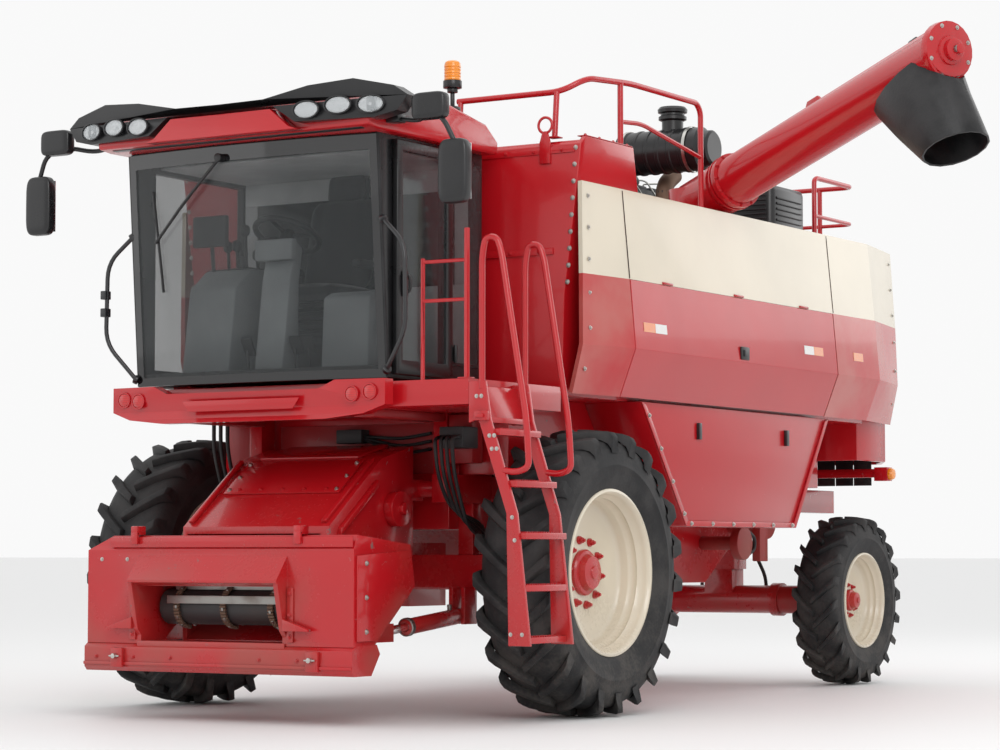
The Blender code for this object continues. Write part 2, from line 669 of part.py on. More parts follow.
# ---- feeder -----------------------------------------------------------------------------------
def feeder(finishes):
    """Sloping feeder house with the header adapter on its front, both on the feeder pivot."""
    py, pz = FEEDER_PIVOT
    throat_y = -1.24
    outline = [(throat_y, 1.06), (-0.74, 1.44), (FEEDER_REAR_Y, 1.52), (FEEDER_REAR_Y, 0.90), (throat_y, 0.39)]
    house = prism("feeder_house", outline, "X", -FEEDER_HALF, FEEDER_HALF)
    hollow = prism("feeder_space", [(throat_y - 0.2, 1.02), (throat_y, 1.02), (-0.76, 1.38), (-0.60, 1.40),
                                    (-0.60, 0.83), (throat_y, 0.435), (throat_y - 0.2, 0.435)],
                   "X", -FEEDER_HALF + FEEDER_WALL, MOUTH_X[1])
    arms = []
    for side in (1, -1):
        low, high = span(side, FEEDER_HALF - 0.07, FEEDER_HALF - 0.01)
        arms.append(block("pivot_arm", (low, FEEDER_REAR_Y - 0.05, pz - 0.07), (high, py, pz + 0.05)))
    trunnion = rod("trunnion", (-RAIL_IN + GAP, py, pz), (RAIL_IN - GAP, py, pz), TRUNNION_R)
    unite(cut(house, hollow), trunnion, *arms)
    paint(house, finishes["red"])

    front, half = ADAPTER_FRONT, ADAPTER_HALF
    side_outline = [(front, 0.42), (front, 0.93), (front + 0.03, 1.01), (-1.045, 0.96), (-1.0, 0.735),
                    (-1.39, 0.42)]
    body = prism("header_adapter", [(y, z) for y, z in side_outline], "X", -half, half)
    bar = prism("coupling_bar", [(front - 0.02, 0.29), (front - 0.02, 0.40), (front + 0.02, 0.43),
                                 (-1.37, 0.43), (-1.34, 0.38), (-1.42, 0.267), (front, 0.267)],
                "X", -half - 0.005, half + 0.005)
    mouth = block("mouth", (MOUTH_X[0], front - 0.1, MOUTH_Z[0]), (MOUTH_X[1], -0.9, MOUTH_Z[1]))
    notch = block("house_seat", (-FEEDER_HALF - GAP, throat_y - GAP, 0.30), (FEEDER_HALF + GAP, -0.8, 1.2))
    hood = prism("mouth_hood", [(front + 0.01, 0.735), (front - HOOD_REACH, 0.755),
                                (front - HOOD_REACH, 0.77), (front + 0.01, 0.915)],
                 "X", MOUTH_X[0] - 0.02, MOUTH_X[1] + 0.03)
    cheeks = []
    for low in (MOUTH_X[0] - 0.03, MOUTH_X[1]):
        cheeks.append(prism("mouth_cheek", [(front + 0.01, 0.455), (front - 0.03, 0.50), (front - 0.09, 0.76),
                                            (front + 0.01, 0.80)], "X", low, low + 0.03))
    chamfer = prism("lid_corner", [(-half - 0.1, 0.93), (-half, 0.93), (-half + 0.18, 1.02),
                                   (-half + 0.18, 1.2), (-half - 0.1, 1.2)], "Y", front - 0.2, -0.9)
    cut(body, notch, chamfer)
    unite(body, bar)
    cut(body, mouth)
    unite(body, hood, *cheeks)
    ears = []
    for side in (1, -1):
        for near, far in ((CYL_X - 0.055, CYL_X - EYE_HALF - GAP), (CYL_X + EYE_HALF + GAP, CYL_X + 0.055)):
            low, high = span(side, near, far)
            ears.append(block("rod_ear", (low, -1.25, CYL_EYE[1] - 0.05), (high, CYL_EYE[0] + 0.05, CYL_EYE[1] + 0.05)))
        low, high = span(side, CYL_X - 0.055, CYL_X + 0.055)
        ears.append(block("ear_root", (low, -1.30, CYL_EYE[1] - 0.04), (high, -1.12, CYL_EYE[1] + 0.13)))
    unite(body, *ears)
    paint(body, finishes["red"])

    y, z = DRUM_AT
    drum = rod("feeder_drum", (MOUTH_X[0] + GAP, y, z), (MOUTH_X[1] - GAP, y, z), 0.03)
    unite(drum, rod("drum_barrel", (MOUTH_X[0] + 0.03, y, z), (MOUTH_X[1] - 0.03, y, z), DRUM_R))
    paint(drum, finishes["steel"])
    lift = pivot("feeder_lift", (0.0, py, pz))
    hang(lift, house, body, drum)
    return lift


def lift_cylinders(finishes, lift):
    """Two lift cylinders: the barrel turns on the axle bracket and the rod slides in it."""
    foot, eye = Vector((0.0, *CYL_FOOT)), Vector((0.0, *CYL_EYE))
    along = (eye - foot).normalized()
    length = (eye - foot).length
    for side in (1, -1):
        out = Vector((side * CYL_X, 0.0, 0.0))
        low, high = span(side, CYL_X - EYE_HALF, CYL_X + EYE_HALF)
        start = out + foot
        barrel = rod(side_name("lift_cylinder", side), start + along * 0.068, start + along * BARREL_LENGTH,
                     CYL_R)
        boss = rod("barrel_eye", (low, *CYL_FOOT), (high, *CYL_FOOT), EYE_R)
        neck = rod("barrel_neck", start, start + along * 0.08, EYE_HALF - 0.002)
        bore = rod("barrel_bore", start + along * 0.10, start + along * (BARREL_LENGTH + 0.05), ROD_R + GAP)
        cut(unite(barrel, boss, neck), bore)
        swing = pivot(side_name("lift_cylinder_pin", side), start)
        hang(swing, paint(barrel, finishes["red"]))
        end = out + eye
        stroke = rod(side_name("lift_rod", side), start + along * (length * 0.30), end - along * 0.02, ROD_R)
        rod_eye = rod("rod_eye", (low, *CYL_EYE), (high, *CYL_EYE), EYE_R)
        unite(stroke, rod_eye)
        slide = pivot(side_name("lift_rod_slide", side), end)
        hang(swing, slide)
        hang(slide, paint(stroke, finishes["chrome"]))
    return lift


# ---- cab --------------------------------------------------------------------------------------
def front_arc(half, base, bulge, steps=8):
    """Points of a shallow bow across the front, from the right to the left side."""
    points = []
    for index in range(steps + 1):
        x = -half + 2 * half * index / steps
        points.append((x, base - bulge * (1 - (x / half) ** 2)))
    return points


def lean(obj, from_y=-0.9):
    """Slope the front forwards towards the top; what lies behind from_y stays upright."""
    low, high = CAB_Z
    for vertex in obj.data.vertices:
        if vertex.co.y < from_y:
            vertex.co.y -= CAB_LEAN * (vertex.co.z - low) / (high - low)
    return obj


def cab_shell(finishes):
    """Hollow cab with its floor, rear wall, pillars and window openings."""
    low, high = CAB_Z
    plan = front_arc(CAB_HALF, CAB_FRONT, CAB_BULGE) + [(CAB_HALF, CAB_REAR), (-CAB_HALF, CAB_REAR)]
    shell = lean(prism("cab_shell", plan, "Z", low, high))
    room = block("cab_room", (-CAB_HALF + CAB_WALL, -1.7, low + CAB_SILL),
                 (CAB_HALF - CAB_WALL, CAB_REAR - CAB_WALL, high - CAB_WALL))
    doorway = block("doorway", (CAB_HALF - 0.2, DOOR_FRONT, low + CAB_SILL), (CAB_HALF + 0.1, B_PILLAR, high - CAB_WALL))
    quarter = block("quarter_opening", (CAB_HALF - 0.2, B_PILLAR + 0.08, low + 0.12),
                    (CAB_HALF + 0.1, CAB_REAR - 0.06, high - 0.09))
    right = block("right_opening", (-CAB_HALF - 0.1, DOOR_FRONT, low + 0.10), (-CAB_HALF + 0.2, CAB_REAR - 0.06, high - 0.09))
    cut(shell, room, doorway, quarter, right)
    return paint(shell, finishes["dark"])


def cab_glass(finishes):
    """Windscreen and the fixed side panes, each on the outside of its opening."""
    low, high = CAB_Z
    inner = front_arc(CAB_HALF, CAB_FRONT - GAP, CAB_BULGE)
    outer = front_arc(CAB_HALF, CAB_FRONT - GAP - GLASS, CAB_BULGE)
    paint(lean(prism("windscreen", inner + outer[::-1], "Z", low, high - 0.01)), finishes["glass"])
    paint(block("quarter_window", (CAB_HALF + GAP, B_PILLAR + 0.08 - GLASS_SEAT, low + 0.12 - GLASS_SEAT),
                (CAB_HALF + GAP + GLASS, CAB_REAR - 0.06 + GLASS_SEAT, high - 0.09 + GLASS_SEAT)), finishes["glass"])
    paint(block("right_window", (-CAB_HALF - GAP - GLASS, DOOR_FRONT - GLASS_SEAT, low + 0.10 - GLASS_SEAT),
                (-CAB_HALF - GAP, CAB_REAR - 0.06 + GLASS_SEAT, high - 0.09 + GLASS_SEAT)), finishes["glass"])


DOOR_HINGE = (CAB_HALF + 0.03, B_PILLAR + 0.03)


def cab_door(finishes):
    """Side door: a frame over the doorway with a glass pane, hinged at its rear edge."""
    low, high = CAB_Z
    inside = CAB_HALF + GAP
    frame = block("cab_door", (inside, DOOR_FRONT - 0.025, low + 0.02), (inside + DOOR_WALL, B_PILLAR + 0.03, high - 0.02))
    opening = block("door_window_opening", (inside - 0.1, DOOR_FRONT + 0.03, low + 0.10),
                    (inside + 0.1, B_PILLAR - 0.03, high - 0.08))
    cut(frame, opening)
    pane = block("cab_door_glass", (inside + 0.010, DOOR_FRONT + 0.03 + GAP, low + 0.10 + GAP),
                 (inside + 0.010 + GLASS, B_PILLAR - 0.03 - GAP, high - 0.08 - GAP))
    hinge = pivot("cab_door_hinge", (inside + DOOR_WALL, B_PILLAR + 0.03, (low + high) / 2))
    hang(hinge, paint(frame, finishes["dark"]), paint(pane, finishes["glass"]))
    return hinge


def cab_roof(finishes):
    """Red roof, the black lamp visor on its front and the beacon."""
    base = CAB_Z[1] + GAP
    profile = [(-1.50, 3.19), (-1.40, base), (-0.20, base), (-0.19, 3.25), (-0.32, 3.34), (-0.75, ROOF_TOP),
               (-1.10, ROOF_TOP), (-1.42, 3.37), (-1.49, 3.31)]
    roof = prism("cab_roof", profile, "X", -ROOF_HALF, ROOF_HALF)
    paint(soften(roof, 0.02), finishes["red"])
    half = [(0.0, 3.355), (0.30, 3.36), (0.58, 3.415), (0.85, 3.435), (1.08, 3.385), (1.16, 3.33), (1.10, 3.25),
            (0.97, 3.22), (0.50, 3.225), (0.36, 3.318), (0.0, 3.318)]
    outline = half + [(-x, z) for x, z in reversed(half) if x > 1e-9]
    visor = prism("roof_visor", outline, "Y", VISOR_FRONT, -1.50)
    for vertex in visor.data.vertices:
        vertex.co.y += 0.13 * (abs(vertex.co.x) / 1.16) ** 2
    for side in (1, -1):
        low, high = span(side, ROOF_HALF + GAP, ROOF_HALF + 0.05)
        unite(visor, block("visor_arm", (low, -1.52, 3.26), (high, -1.10, 3.33)))
    low_front = -1.50 - GAP
    notch = block("visor_seat", (-ROOF_HALF - GAP, low_front, 3.0), (ROOF_HALF + GAP, -1.0, 3.6))
    cut(visor, notch)
    paint(visor, finishes["plastic"])
    stem = rod("warning_beacon", (0.86, -0.57, ROOF_TOP - 0.07), (0.86, -0.57, 3.53), 0.014, 8)
    unite(stem, block("beacon_foot", (0.83, -0.60, 3.35), (0.89, -0.54, 3.42)),
          rod("beacon_base", (0.86, -0.57, 3.52), (0.86, -0.57, 3.56), 0.052, 12),
          rod("beacon_lens", (0.86, -0.57, 3.555), (0.86, -0.57, 3.67), 0.045, 12))
    cut(stem, prism("beacon_seat", [(y, z + GAP) for y, z in profile], "X", -ROOF_HALF, ROOF_HALF))
    paint(stem, finishes["amber"])


def cab_inside(finishes):
    """Seat, steering column with its wheel, and the control console."""
    floor = CAB_Z[0] + CAB_SILL + GAP
    seat = block("driver_seat", (-0.27, -0.86, floor + 0.36), (0.27, -0.38, floor + 0.50))
    back = prism("seat_back", [(-0.46, floor + 0.45), (-0.34, floor + 0.45), (-0.30, floor + 1.02), (-0.40, floor + 1.05)],
                 "X", -0.25, 0.25)
    foot = prism("seat_foot", [(-0.80, floor), (-0.42, floor), (-0.46, floor + 0.38), (-0.76, floor + 0.38)],
                 "X", -0.20, 0.20)
    paint(unite(seat, back, foot), finishes["fabric"])
    column = prism("steering_column", [(-1.13, floor), (-0.97, floor), (-0.965, floor + 0.50), (-0.93, floor + 0.70),
                                       (-1.00, floor + 0.74), (-1.06, floor + 0.52)], "X", -0.11, 0.11)
    tilt = Matrix.Translation((0.0, -0.955, floor + 0.775)) @ Matrix.Rotation(math.radians(-25), 4, "X")
    ring = turned("steering_ring", ring_profile(0.185, 0.016), 16, (0.0, 0.0, 0.0))
    ring.data.transform(tilt @ Matrix.Rotation(math.pi / 2, 4, "Y"))
    spokes = [rod("spoke", tilt @ Vector((-0.18, 0, 0)), tilt @ Vector((0.18, 0, 0)), 0.012, 8),
              rod("spoke", tilt @ Vector((0, 0, 0)), tilt @ Vector((0, 0.18, 0)), 0.012, 8),
              rod("wheel_boss", tilt @ Vector((0, 0, -0.10)), tilt @ Vector((0, 0, 0.02)), 0.035, 12)]
    paint(unite(column, ring, *spokes), finishes["dark_grey"])
    console = prism("side_console", [(-1.02, floor), (-0.36, floor), (-0.36, floor + 0.62), (-0.80, floor + 0.62),
                                     (-0.95, floor + 0.50)], "X", -0.70, -0.36)
    lever = rod("drive_lever", (-0.46, -0.74, floor + 0.58), (-0.43, -0.80, floor + 0.80), 0.014, 8)
    knob = ball("lever_knob", (-0.43, -0.80, floor + 0.82), 0.032)
    paint(unite(console, lever, knob), finishes["dark_grey"])


def ring_profile(radius, thickness, points=8):
    """A small circle at a radius, for a turned ring."""
    return [(radius + thickness * math.cos(math.tau * k / points), thickness * math.sin(math.tau * k / points))
            for k in range(points)]


def access_deck():
    """Deck under and beside the cab with the guard at its front corner."""
    deck = block("access_deck", (-0.90, CAB_FRONT, DECK_BOTTOM), (DECK_OUT, CORE_FRONT - 0.045, DECK_TOP))
    x, y, low = DECK_OUT - 0.03, CAB_FRONT + 0.03, DECK_TOP - 0.02
    stay = 1.06
    pads = [block("cab_mount", (px - 0.06, py - 0.06, low), (px + 0.06, py + 0.06, CAB_Z[0] - GAP))
            for px in (-0.62, 0.62) for py in (-1.05, -0.40)]
    posts = [tube("guard_post", [(x, y, low), (x, y, 2.64)]), tube("guard_stay", [(stay, y, low), (stay, y, 2.49)], 0.013)]
    bars = [tube("guard_bar", [(x, y, z), (stay, y, z)], 0.011) for z in (2.26, 2.47)]
    return unite(deck, *pads, *posts, *bars)


def cab_outside(finishes):
    """Bumper panel, access deck, grab rails and mirrors."""
    top_half = [(0.93, 1.845), (0.62, 1.845), (0.52, 1.80)]
    low_half = [(0.56, 1.635), (0.80, 1.66), (0.93, 1.705)]
    outline = top_half + [(-x, z) for x, z in reversed(top_half)] + [(-x, z) for x, z in reversed(low_half)] + low_half
    bumper = prism("bumper_panel", outline, "Y", -1.34, -1.26)
    for vertex in bumper.data.vertices:
        vertex.co.y -= 0.05 * (1 - (vertex.co.x / 0.93) ** 2)
    for side in (1, -1):
        low, high = span(side, 0.30, 0.36)
        unite(bumper, block("bumper_bracket", (low, -1.30, 1.72), (high, CAB_FRONT - GAP, 1.78)))
    paint(bumper, finishes["red"])

    paint(access_deck(), finishes["red"])
    for side in (1, -1):
        points = [(side * (CAB_HALF + 0.005), -1.262, 2.71), (side * 1.02, -1.29, 2.57), (side * 1.03, -1.29, 2.11),
                  (side * (CAB_HALF + 0.005), -1.222, 1.90)]
        rail = tube(side_name("grab_rail", side), points, 0.012)
        paint(rail, finishes["black"])
        seat = lean(prism("rail_seat", front_arc(CAB_HALF + GAP, CAB_FRONT - GLASS - 2 * GAP, CAB_BULGE)
                          + [(CAB_HALF + GAP, -0.9), (-CAB_HALF - GAP, -0.9)], "Z", 1.5, 3.3))
        cut(rail, seat)
        arm = tube(side_name("mirror", side),
                   [(side * (ROOF_HALF + 0.06), -1.30, 3.235), (side * 1.12, -1.29, 3.215),
                    (side * 1.24, -1.40, 3.24), (side * 1.36, -1.44, 3.20), (side * 1.43, -1.42, 3.05)], 0.013)
        low, high = span(side, 1.33, 1.51)
        head = soften(block("mirror_head", (low, -1.45, 2.74), (high, -1.37, 3.08)), 0.02)
        low, high = span(side, 1.175, 1.385)
        pad = soften(block("wide_mirror", (low, -1.47, 3.19), (high, -1.39, 3.335)), 0.02)
        low, high = span(side, ROOF_HALF + GAP, ROOF_HALF + 0.08)
        foot = block("mirror_foot", (low, -1.34, 3.215), (high, -1.26, 3.2596))
        paint(unite(arm, head, pad, foot), finishes["plastic"])


# ---- ladder and rails -------------------------------------------------------------------------
def ladder(finishes):
    """Boarding ladder: two slanted cheek plates with steps between them."""
    plate = [(DECK_OUT + GAP, 1.82), (1.47, 1.82), (1.50, 1.62), (1.665, 1.12), (1.745, 0.43), (1.615, 0.43),
             (1.603, 1.12), (DECK_OUT + 0.06, 1.62), (DECK_OUT + GAP, 1.60)]
    front, back = LADDER_Y
    first = prism("boarding_ladder", plate, "Y", front, front + LADDER_PLATE)
    tools = [prism("rear_cheek", plate, "Y", back - LADDER_PLATE, back)]
    for index in range(STEP_COUNT):
        z = STEP_FIRST + STEP_RISE * index
        near = 1.612 if z < 1.15 else 1.603 - (z - 1.12) * 0.36
        far = near + 0.10
        tools.append(block("step", (near, front + 0.005, z), (far, back - 0.005, z + 0.035)))
    x = DECK_OUT + 0.076
    for y in (front + LADDER_PLATE / 2, back - LADDER_PLATE / 2):
        tools.append(tube("handrail", [(x, y, 1.80), (x, y, 2.48), (x + 0.03, y, 2.57), (x + 0.08, y, 2.57),
                                       (x + 0.12, y, 2.50), (1.72, y, 1.60), (1.735, y, 1.38),
                                       (1.70, y, 1.345), (1.59, y, 1.345)]))
    return paint(unite(first, *tools), finishes["red"])


def rails(finishes):
    """Rails on the tank and round the rear hood."""
    x = 1.365
    posts = [(-0.03, TANK_TOP), (0.56, TANK_TOP - 0.13), (1.45, TANK_SHOULDER_Z)]
    top_z = 3.66
    rail = tube("tank_rail", [(0.55, -0.03, top_z - 0.12), (1.25, -0.03, top_z - 0.12), (x, 0.06, top_z - 0.04),
                              (x, 0.56, top_z), (x, 1.40, top_z), (x, 1.45, top_z - 0.05), (x, 1.45, 3.0004)])
    extras = [tube("rail_post", [(x, 0.45, TANK_TOP + GAP), (x, 0.45, top_z)]),
              tube("rail_post", [(1.22, -0.055, TANK_TOP + GAP), (1.22, -0.03, top_z - 0.12)]),
              tube("rail_post", [(0.57, -0.055, TANK_TOP + GAP), (0.57, -0.03, top_z - 0.12)]),
              tube("rail_bar", [(x, 0.45, 3.42), (x, 0.70, 3.44), (x, 1.45, 3.33)], 0.013)]
    paint(unite(rail, *extras), finishes["red"])
    z0, z1 = HOOD_Z[1] + GAP, 3.55
    rear = tube("rear_rail", [(0.86, 4.12, z0), (0.86, 4.12, z1 - 0.04), (0.86, 4.17, z1), (0.86, 4.72, z1),
                              (0.82, 4.76, z1), (-0.82, 4.76, z1), (-0.86, 4.72, z1), (-0.86, 4.17, z1),
                              (-0.86, 4.12, z1 - 0.04), (-0.86, 4.12, z0)])
    extras = [tube("rear_bar", [(0.86, 4.12, 3.28), (0.86, 4.72, 3.28), (0.82, 4.76, 3.28), (-0.82, 4.76, 3.28),
                                (-0.86, 4.72, 3.28), (-0.86, 4.12, 3.28)], 0.013)]
    for x in (-0.60, 0.60):
        extras.append(tube("rear_post", [(x, 4.76, z0), (x, 4.76, z1)]))
    return paint(unite(rear, *extras), finishes["red"])


# ---- engine bay -------------------------------------------------------------------------------
def engine_bay(finishes):
    """Engine, air cleaner and the cooling housing on the deck."""
    floor = ENGINE_DECK_Z + GAP
    engine = block("engine", (-0.40, 2.15, floor), (0.42, 3.25, 3.22))
    unite(engine, block("engine_head", (-0.20, 2.25, 3.20), (0.24, 3.15, 3.36)),
          rod("turbo", (0.40, 2.52, 3.02), (0.60, 2.52, 3.02), 0.13),
          rod("exhaust", (0.53, 2.52, 2.95), (0.53, 2.52, 3.30), 0.055, 12))
    paint(engine, finishes["dark"])
    cleaner = rod("air_cleaner", (0.28, 2.40, 3.54), (0.90, 2.40, 3.54), 0.145)
    unite(cleaner, rod("inlet_neck", (0.66, 2.40, 3.60), (0.66, 2.40, 3.80), 0.075),
          rod("inlet_cap", (0.66, 2.40, 3.77), (0.66, 2.40, 3.83), 0.095),
          rod("end_cap", (0.86, 2.40, 3.54), (0.97, 2.40, 3.54), 0.115),
          block("cleaner_stand", (0.29, 2.36, 3.2204), (0.37, 2.44, 3.45)))
    paint(cleaner, finishes["plastic"])
    housing = block("cooling_housing", (0.40, 3.42, floor), (0.88, HOOD_Y[0] - 0.02, 3.43))
    paint(soften(housing, 0.04, 2), finishes["dark"])


# ---- unloading auger --------------------------------------------------------------------------
# spout rings: drop below the tube's end, shift outwards, half length, half width and slope
SPOUT_RINGS = ((0.14, -0.277, 0.29, 0.172, 0.55), (0.34, -0.13, 0.24, 0.18, 0.50),
               (0.56, 0.063, 0.175, 0.19, 0.42))
SPOUT_SIDES = 16
DISC_R = 0.168
FLANGE_S = (0.42, 0.445)      # where the tube's flange lies along it


def spout_skirt(end, heading):
    """A rubber sleeve that wraps the tube's end from below and is open at its foot."""
    across = Vector((-heading.y, heading.x, 0.0))
    bm = bmesh.new()
    rings = []
    for drop, shift, length, width, slope in SPOUT_RINGS:
        middle = end + heading * shift - Vector((0.0, 0.0, drop))
        sloping = heading + Vector((0.0, 0.0, slope))
        turns = [math.tau * (k + 0.5) / SPOUT_SIDES for k in range(SPOUT_SIDES)]
        rings.append([bm.verts.new(middle + sloping * (length * math.cos(turn)) + across * (width * math.sin(turn)))
                      for turn in turns])
    for upper, lower in zip(rings, rings[1:]):
        for k in range(SPOUT_SIDES):
            following = (k + 1) % SPOUT_SIDES
            bm.faces.new((upper[k], upper[following], lower[following], lower[k]))
    bmesh.ops.recalc_face_normals(bm, faces=bm.faces)
    skirt = from_bmesh("auger_spout", bm)
    wall = skirt.modifiers.new("Wall", "SOLIDIFY")
    wall.thickness = 0.012
    wall.offset = 0.0
    return skirt


def auger(finishes):
    """Fixed turret, and the tube that swings on it with its spout."""
    heading = Vector((math.cos(AUGER_HEADING), math.sin(AUGER_HEADING), 0.0))
    along = (heading * math.cos(AUGER_RISE) + Vector((0, 0, math.sin(AUGER_RISE)))).normalized()
    head = Vector((*AUGER_AT, AUGER_Z))
    low, high = TURRET_Z
    turret = rod("auger_turret", (*AUGER_AT, ENGINE_DECK_Z + GAP), (*AUGER_AT, low - GAP), TURRET_R, 20)
    feed_start, feed_end = head - along * 0.52, head - along * 0.21
    feed = rod("feed_tube", feed_start, feed_end, 0.095)
    saddle = block("feed_saddle", (AUGER_AT[0] - 0.42, AUGER_AT[1] + 0.08, ENGINE_DECK_Z + GAP),
                   (AUGER_AT[0] - 0.16, AUGER_AT[1] + 0.20, 2.98))
    link_web = block("turret_web", (AUGER_AT[0] - 0.30, AUGER_AT[1] - 0.02, ENGINE_DECK_Z + 0.01),
                     (AUGER_AT[0] - 0.10, AUGER_AT[1] + 0.20, low - 0.03))
    paint(unite(turret, feed, saddle, link_web), finishes["red"])

    end = head + along * AUGER_REACH
    barrel = rod("auger_tube", head, end, AUGER_R, 24)
    elbow = rod("auger_elbow", (*AUGER_AT, low), (*AUGER_AT, high), TURRET_R, 20)
    flange = rod("auger_flange", head + along * FLANGE_S[0], head + along * FLANGE_S[1], AUGER_R + 0.02, 24)
    disc_centre = end + heading * 0.02
    disc = rod("auger_disc", disc_centre - heading * 0.05, disc_centre, DISC_R, 24)
    boss = rod("auger_bearing", disc_centre - heading * 0.01, disc_centre + heading * 0.05, 0.06, 12)
    paint(unite(barrel, elbow, flange, disc, boss), finishes["red"])

    skirt = spout_skirt(end, heading)
    channel = rod("skirt_channel", head + along, end + along, AUGER_R + GAP, 24)
    disc_seat = rod("disc_seat", disc_centre - heading * (0.05 + GAP), disc_centre + heading * 0.12,
                    DISC_R + GAP, 24)
    cut(skirt, channel, disc_seat)
    paint(skirt, finishes["rubber"])
    swing = pivot("auger_swing", (*AUGER_AT, low))
    hang(swing, bpy.data.objects["auger_tube"], skirt)
    return swing


# ---- assembly ---------------------------------------------------------------------------------
def main():
    finishes = {
        "red": material("red_paint", RED, 0.28),
        "cream": material("cream_paint", CREAM, 0.35),
        "tyre": material("tyre_rubber", BLACK, 0.85),
        "rubber": material("black_rubber", BLACK, 0.7),
        "plastic": material("black_plastic", BLACK, 0.45),
        "black": material("black_tube", BLACK, 0.4),
        "dark": material("dark_paint", DARK, 0.5),
        "dark_grey": material("grey_plastic", GREY, 0.6),
        "fabric": material("seat_fabric", DARK, 0.9),
        "steel": material("worn_steel", STEEL, 0.5, 0.8),
        "chrome": material("polished_rod", STEEL, 0.15, 1.0),
        "glass": material("cab_glass", GLASS_TINT, 0.05),
        "amber": material("amber_lens", AMBER, 0.2),
    }
    wheel_pivots = wheels(finishes)
    front_axle(finishes)
    rear_axle(finishes)
    knuckles(finishes, wheel_pivots)
    chassis(finishes)
    thresher(finishes)
    grain_tank(finishes)
    engine_deck(finishes)
    straw_hood(finishes)
    side_panels(finishes)
    lower_shields(finishes)
    lift_cylinders(finishes, feeder(finishes))
    cab_shell(finishes)
    cab_glass(finishes)
    cab_door(finishes)
    cab_roof(finishes)
    cab_inside(finishes)
    cab_outside(finishes)
    ladder(finishes)
    rails(finishes)
    engine_bay(finishes)
    auger(finishes)
    centre_on_ground()


def centre_on_ground():
    """Move the whole assembly so that the origin is the middle of its footprint."""
    _, shift, half_length, half_width, _ = SPOUT_RINGS[-1]
    mouth = AUGER_REACH * math.cos(AUGER_RISE) + shift
    mouth_half = math.hypot(half_length * math.cos(AUGER_HEADING), half_width * math.sin(AUGER_HEADING))
    tip_x = AUGER_AT[0] + math.cos(AUGER_HEADING) * mouth + mouth_half
    right_x = -(FRONT_TRACK + FRONT_TYRE_W) / 2
    front_y = ADAPTER_FRONT - HOOD_REACH
    tail_y = max(HOOD_Y[2], WHEELBASE + REAR_TYRE_R)
    centre = Vector(((tip_x + right_x) / 2, (front_y + tail_y) / 2, 0.0))
    ground = bpy.data.objects.new("machine_frame", None)
    PARTS.objects.link(ground)
    bpy.context.view_layer.update()
    for obj in list(PARTS.objects) + list(CUTTERS.objects):
        if obj is not ground and obj.parent is None:
            obj.parent = ground
    ground.location = -centre


main()
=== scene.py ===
"""Looks of the combine harvester: finishes, tyre tread, fasteners, lamps, cab trim and the studio."""

import json
import logging
import math
from dataclasses import dataclass
from enum import Enum
from typing import Any, Dict, Iterable, List, Optional, Sequence, Tuple, Union

import bmesh
import bpy
from mathutils import Matrix, Vector

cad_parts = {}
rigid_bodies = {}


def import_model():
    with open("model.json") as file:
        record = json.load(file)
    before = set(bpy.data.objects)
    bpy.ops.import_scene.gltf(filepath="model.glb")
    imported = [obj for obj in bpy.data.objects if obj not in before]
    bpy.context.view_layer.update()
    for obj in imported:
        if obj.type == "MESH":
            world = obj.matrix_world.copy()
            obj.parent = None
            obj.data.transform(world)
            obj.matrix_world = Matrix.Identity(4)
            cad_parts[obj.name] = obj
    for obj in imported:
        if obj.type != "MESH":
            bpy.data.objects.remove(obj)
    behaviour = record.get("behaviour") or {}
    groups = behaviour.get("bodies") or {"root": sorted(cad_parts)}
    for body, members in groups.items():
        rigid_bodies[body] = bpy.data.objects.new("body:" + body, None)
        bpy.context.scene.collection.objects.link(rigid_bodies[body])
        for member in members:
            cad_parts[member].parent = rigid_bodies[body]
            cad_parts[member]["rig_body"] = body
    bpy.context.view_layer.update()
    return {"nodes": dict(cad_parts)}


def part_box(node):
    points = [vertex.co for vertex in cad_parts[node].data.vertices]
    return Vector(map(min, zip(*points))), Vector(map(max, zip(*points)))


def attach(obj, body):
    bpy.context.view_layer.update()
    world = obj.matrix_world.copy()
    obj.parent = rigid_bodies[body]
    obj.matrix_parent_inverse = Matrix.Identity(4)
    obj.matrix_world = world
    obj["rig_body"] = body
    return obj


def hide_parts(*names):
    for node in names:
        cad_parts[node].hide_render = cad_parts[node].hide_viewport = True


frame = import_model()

LOG = logging.getLogger("combine_harvester")
Colour = Tuple[float, float, float]
Point = Tuple[float, float, float]
Outline = Sequence[Tuple[float, float]]


def design_origin() -> Vector:
    """The point on the ground under the middle of the front axle, in the row frame.

    Returns:
        The origin of the design frame in which every size below is given.
    """
    left_low, left_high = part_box("front_tyre_left")
    right_low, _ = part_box("front_tyre_right")
    return Vector(((right_low.x + left_high.x) / 2, (left_low.y + left_high.y) / 2, 0.0))


ORIGIN = design_origin()
PLACE = Matrix.Translation(ORIGIN)


class Side(Enum):
    """The machine's two sides, with the sign of X on each."""

    LEFT = 1
    RIGHT = -1

    @property
    def word(self) -> str:
        """The side's name as the nodes use it."""
        return self.name.lower()

    def span(self, near: float, far: float) -> Tuple[float, float]:
        """Low and high X of a stretch between two distances from the middle plane."""
        return (near, far) if self is Side.LEFT else (-far, -near)


